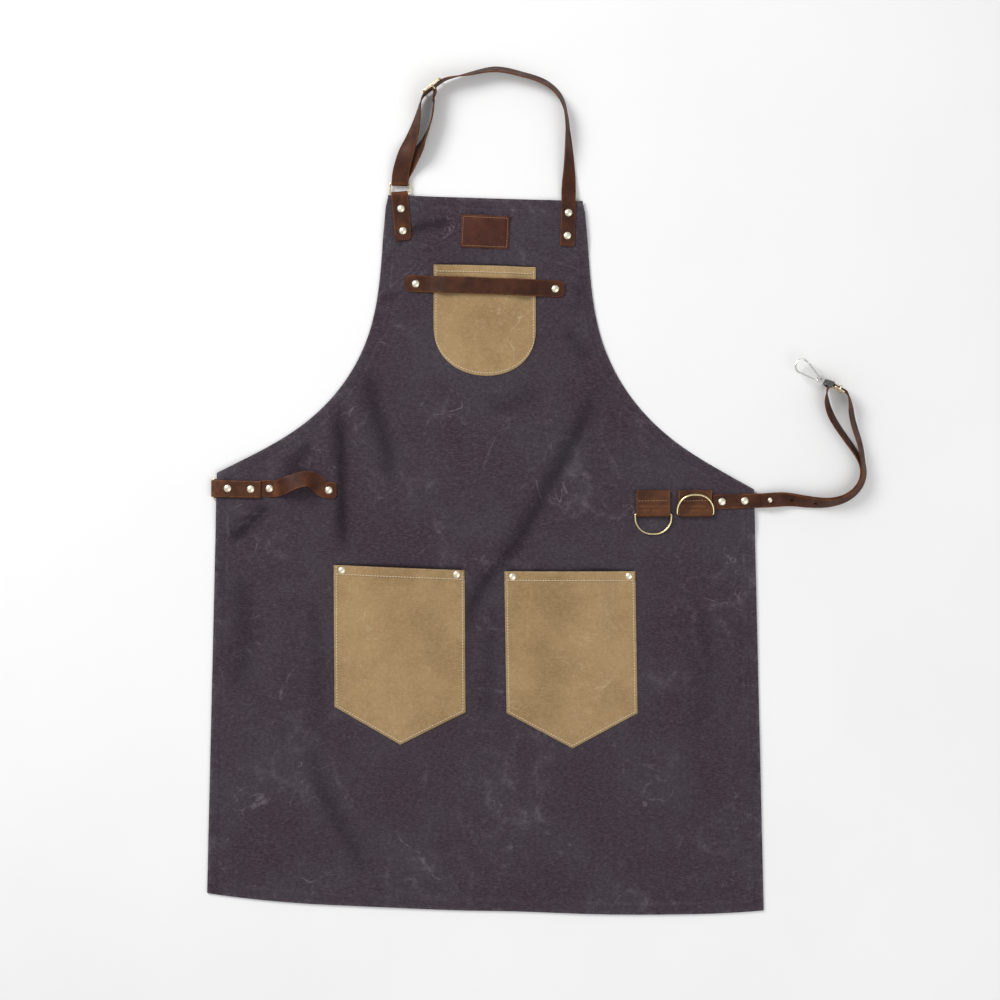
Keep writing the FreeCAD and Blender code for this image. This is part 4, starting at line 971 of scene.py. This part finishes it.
def neck_loop():
    """The long strap: riveted to the bib, over the loop, through the slider and round the ring; its return
    folds round the slider's bar."""
    far_bar = NECK_BAR + UP_BIB * 12.9
    flat = TOP + LEATHER / 2
    stations = [(99.9, 812.7, flat, 0), (100.6, 832, flat, 0), (101.4, 852, flat, 0), (101.6, 866, flat, 0),
                (101.6, 874.4, flat, 0), (102.0, 890, flat, 18), (102.3, 906.5, 7.4, 38), (101.9, 930, 9.2, 57),
                (100.6, 955, 10.5, 75), (98.0, 977, 10.8, 79), (90.5, 996, 10.6, 70), (73.0, 1012, 10.3, 64),
                (44.7, 1022, 10.1, 64), (11.6, 1028, 10.2, 62), (-19, 1022.5, 11.0, 72),
                (-40.0, 1018, 12.6, 84)]
    stations += [(*(NECK_SLIDER + SLIDER_RUN * d), 90) for d in (-14, 0, 14)]
    stations += [(-80.5, 981.0, 12.4, 80), (-84.5, 962, 10.8, 60), (-91.5, 940, 10.2, 38),
                 (-95.2, 930, 10.5, 21), (-98.6, 920, 10.6, 8), (-101.8, 909, 9.4, 2), (-103.9, 899, 7.6, 0),
                 (far_bar[0], far_bar[1], far_bar[2] + TURN, 0)]
    turn = circle_run(far_bar, UP * TURN, NECK_ALONG, 92, -NECK_ALONG, 8)
    run = joined(track(stations), (turn[0][1:], turn[1][1:]))
    run = crowd(*run, 3.0)
    lengths = lengths_along(run[0])
    width = NARROW + (STRAP - NARROW) * np.clip((lengths - 62) / (lengths[-1] - 62), 0, 1)
    o = ribbon("neck_strap_leather", *run, STRAP_LEATHER, ends=(3.0, 0.0), width=width)
    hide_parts("neck_strap_anchor", "neck_strap")
    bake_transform(o)
    below = circle_run(far_bar, -UP_BIB * TURN, NECK_ALONG, 88, -NECK_ALONG, 8)
    back = [(far_bar[0], far_bar[1], far_bar[2] - TURN, 180), (-103.2, 898.0, 2.3, 179),
            (-97.0, 909.0, 3.8, 166), (-89.5, 920.0, 6.0, 150), (-81.3, 930.0, 9.1, 125),
            (-75.6, 941.0, 10.9, 106), (-67.5, 961.0, 12.0, 94)]
    bar = NECK_SLIDER + np.cross(UP, SLIDER_RUN) * END_BAR_DROP
    beside = -np.cross(END_RUN, UP)
    layer, wrap = SKIVED / 2, SLIDER_WIRE + 0.05 + SKIVED / 2
    back += [(*(bar + END_RUN * d + beside * w), 90) for d, w in ((22, 0.9), (14, layer), (5, layer + 0.1))]
    fold = circle_run(bar, beside * wrap, UP, 180, -UP, 12)
    if np.dot(fold[0][6] - bar, END_RUN) > 0:
        fold = circle_run(bar, beside * wrap, UP, -180, -UP, 12)
    end = np.array([bar + END_RUN * d - beside * w for d, w in ((5, layer + 0.1), (9.5, layer), (14, layer))])
    end = np.concatenate([np.linspace(a, b, 4)[:-1] for a, b in zip(end, end[1:])] + [end[-1:]])
    run = joined((below[0][:-1], below[1][:-1]), track(back), fold, (end, np.broadcast_to(-UP, end.shape)))
    lengths = lengths_along(run[0])
    thin = smooth(lengths, lengths[-1] - 44, lengths[-1] - 36)
    o = ribbon("neck_strap_return_leather", *run, STRAP_LEATHER, thick=LEATHER - (LEATHER - SKIVED) * thin)
    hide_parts("neck_strap_return", "neck_strap_end")
    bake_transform(o)
    profile = [(0.3, -2.15), (1.6, -2.1), (2.5, -1.85), (2.95, -1.5), (2.9, -1.2), (1.3, -1.15), (1.3, 1.15),
               (2.9, 1.2), (2.95, 1.5), (2.5, 1.85), (1.6, 2.1), (0.3, 2.15)]
    put(lathe("neck_strap_end_rivet_brass", [(bar + END_RUN * 9.5, END_RUN, UP)], profile, BRASS, 28),
        "neck_slider", "neck_strap_end_rivet")
    slider("neck_slider", NECK_SLIDER, SLIDER_RUN, np.cross(SLIDER_RUN, UP), END_BAR_DROP, 25.0,
           NECK_SLIDER_WIRE)


# --- waist strap ---

HOOK_DIR = unit(np.array([-0.86, 0.51, 0]))
BOSS = np.array([409.0, 649.7, HOOK_Z])
EYE_BAR = 14.0
STUD_AT = 10.0
SPARE_HOLES = (38.3, 66.6)


def waist_strap():
    """Riveted to the canvas, out to the hook's bar, round it, back through the slider and onto the stud."""
    flat = TOP + LEATHER / 2
    anchor = [(278.7, 500.0, flat, 0), (300, 500.6, flat, 0), (318, 501.1, flat, 0), (329, 501.4, flat, 0)]
    inner = [(337.2, 501.6, flat, 0), (347.2, 502.2, flat, 0), (353.0, 502.6, flat, 0), (360.0, 503.2, 6.1, 12),
             (369.0, 503.5, 6.7, 27), (382.0, 502.4, 7.5, 41), (405.0, 500.0, 8.5, 53), (428.0, 501.6, 9.4, 62),
             (448.0, 511.2, 9.9, 65), (459.2, 528.0, 10.2, 66), (459.2, 545.0, 10.3, 66),
             (448.0, 566.0, 10.3, 63), (432.4, 588.0, 10.4, 60), (421.4, 607.0, 10.8, 58),
             (416.7, 623.0, 12.0, 66), (416.6, 634.0, HOOK_Z, 84)]
    bar = BOSS - HOOK_DIR * EYE_BAR
    wrap = [(bar[0] + a, bar[1] + b, HOOK_Z, 90) for a, b in arc(TURN, (180, 150, 120, 90, 60))]
    first_centre, first_side = track(anchor + inner + wrap[:1])
    first_face = np.cross(first_side, tangents(first_centre))
    start = int(np.argmin(np.abs(first_centre[:, 0] - 337.2) + (first_centre[:, 1] > 505) * 99))
    parting = int(np.argmin(np.linalg.norm(first_centre - np.array([459.2, 545.0, 10.3]), axis=1)))
    slide = [np.array(wrap[-1][:3]) - HOOK_DIR * d for d in (2, 11, 20)]
    meet = first_centre[parting] + first_face[parting] * PITCH
    ahead = first_centre[parting - 5] + first_face[parting - 5] * PITCH
    back = wrap + [(*p, 90) for p in slide]
    back += [(443.8, 626.5, 12.6, 103), (446.3, 612.0, 11.4, 116), (450.4, 592.0, 10.6, 119),
             (457.0, 571.0, 10.4, 116), (*meet, 114), (*ahead, 115)]
    second = track(back, 1.5)
    stop = int(np.argmin(np.linalg.norm(second[0] - meet, axis=1)))
    outer_centre = (first_centre + first_face * PITCH)[start:parting][::-1]
    outer_side = first_side[start:parting][::-1]
    run = joined((first_centre[:-1], first_side[:-1]), (second[0][:stop], second[1][:stop]),
                 (outer_centre, outer_side))
    o = ribbon("waist_strap_leather", *crowd(*run, 2.5), STRAP_LEATHER, ends=(2.0, 2.5), width=NARROW)
    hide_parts("waist_strap_anchor", "waist_strap_inner", "waist_strap_outer")
    lengths = lengths_along(first_centre[start:])
    spots = [start + int(np.argmin(np.abs(lengths - d))) for d in (STUD_AT, *SPARE_HOLES)]
    cutters = []
    for k in spots[1:]:
        q = first_centre[k] + first_face[k] * PITCH
        cutter = tube("hole_cutter", [q - first_face[k] * 1.15, q + first_face[k] * 6], 2.0, STRAP_LEATHER)
        cutters.append(cutter)
        cut = o.modifiers.new("hole", "BOOLEAN")
        cut.operation, cut.object, cut.solver = "DIFFERENCE", cutter, "EXACT"
    bpy.context.view_layer.update()
    punched = bpy.data.meshes.new_from_object(o.evaluated_get(bpy.context.evaluated_depsgraph_get()))
    o.modifiers.clear()
    o.data = punched
    o.data.materials.clear()
    o.data.materials.append(STRAP_LEATHER)
    for cutter in cutters:
        bpy.data.objects.remove(cutter)
    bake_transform(o)
    k = spots[0]
    along = tangents(first_centre)[k]
    top = LEATHER / 2 + PITCH
    head = [(0.4, 0.9), (3.3, 0.9), (3.4, 1.12), (1.45, 1.18), (1.45, top - 0.1), (1.5, top + 0.35),
            (2.2, top + 0.7)]
    head += [(b, top + 3.0 - a) for a, b in arc(3.1, range(50, 176, 9))]
    screw = [(0.3, -1.9), (3.2, -1.9), (3.9, -1.6), (4.0, -1.0), (1.4, -0.9), (1.4, 0.85), (0.3, 0.88)]
    for node, profile in (("stud_head", head), ("stud_screw", screw)):
        place = (first_centre[k], along, np.cross(first_face[k], along))
        put(lathe(node + "_brass", [place], profile, BRASS, 36), "waist_strap", node)
    slider("waist_slider", slide[1], -HOOK_DIR, -np.cross(HOOK_DIR, UP), LEATHER / 2 + 0.5 + SLIDER_WIRE, 13.0,
           SLIDER_WIRE)


def hook():
    """The snap hook's own CAD solids, with their edges eased."""
    # the swivel eye's near-black nickel is painted shade
    finishes = {"hook_swivel_eye": SWIVEL_SHADE_NICKEL, "hook_body": NICKEL, "hook_gate": NICKEL,
                "hook_gate_pin": STEEL, "hook_gate_spring": STEEL}
    for node, material in finishes.items():
        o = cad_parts[node]
        o.data.materials.clear()
        o.data.materials.append(material)
        o.data.polygons.foreach_set("material_index", [0] * len(o.data.polygons))
        o.data.polygons.foreach_set("use_smooth", [True] * len(o.data.polygons))
        ease = o.modifiers.new("eased_edges", "BEVEL")
        ease.width, ease.segments, ease.limit_method = 0.25 * MM, 2, "ANGLE"
        ease.angle_limit = math.radians(40)
        ease.harden_normals = True


# --- floor, light and camera ---

def studio():
    paint = Paint("floor", "canvas", Roughness=0.9, Specular_IOR_Level=0.1)
    cloudy = paint.span(paint.noise(3.0), 0.3, 0.7)
    paint.colour(paint.mix(cloudy, (0.86, 0.86, 0.86, 1), (0.88, 0.88, 0.88, 1)))
    mesh = bpy.data.meshes.new("floor")
    r = 12.0
    mesh.from_pydata([(-r, -r, 0), (r, -r, 0), (r, r, 0), (-r, r, 0)], [], [(0, 1, 2, 3)])
    mesh.materials.append(paint.material)
    link("floor", mesh)
    world = bpy.data.worlds.new("studio")
    scene = bpy.context.scene
    scene.world = world
    world.use_nodes = True
    sky = world.node_tree.nodes["Background"].inputs
    sky["Color"].default_value, sky["Strength"].default_value = (1, 1, 1, 1), 0.5
    for name, place, aim, size, power in (("key", (-1.7, 2.2, 1.9), (0.0, 0.5, 0.0), 1.3, 62.0),
                                          ("fill", (1.6, -0.9, 2.6), (0.0, 0.4, 0.0), 2.4, 34.0)):
        light = bpy.data.lights.new(name, "AREA")
        light.energy, light.size = power, size
        o = link(name, light)
        o.location = place
        o.rotation_euler = (Vector(aim) - Vector(place)).to_track_quat("-Z", "Y").to_euler()
    camera = bpy.data.cameras.new("camera")
    camera.lens, camera.sensor_width = 85.0, 36.0
    camera.clip_start, camera.clip_end = 0.1, 50.0
    scene.camera = link("camera", camera)
    scene.camera.location = (0.0178, 0.5023, 2.8925)
    scene.view_settings.view_transform, scene.view_settings.look = "Standard", "None"


def build():
    front = canvas_front()
    rims = rim_points()
    edges = [hem(name, points) for name, points in rims.items()]
    sewing = stitches("canvas_hem_stitches", [hem_line(p, 10.5) for p in rims.values()], GREY_THREAD,
                      3.6, 2.7, 0.34, 0.2)
    pockets()
    patch()
    chest_tool_strap()
    towel_loop()
    neck_tab()
    waist_tab()
    for name, x in (("inner", 205.0), ("outer", 256.4)):
        d_ring_tab(name, x)
    rivets()
    rings()
    neck_loop()
    waist_strap()
    hook()
    studio()


build()
bpy.context.view_layer.update()
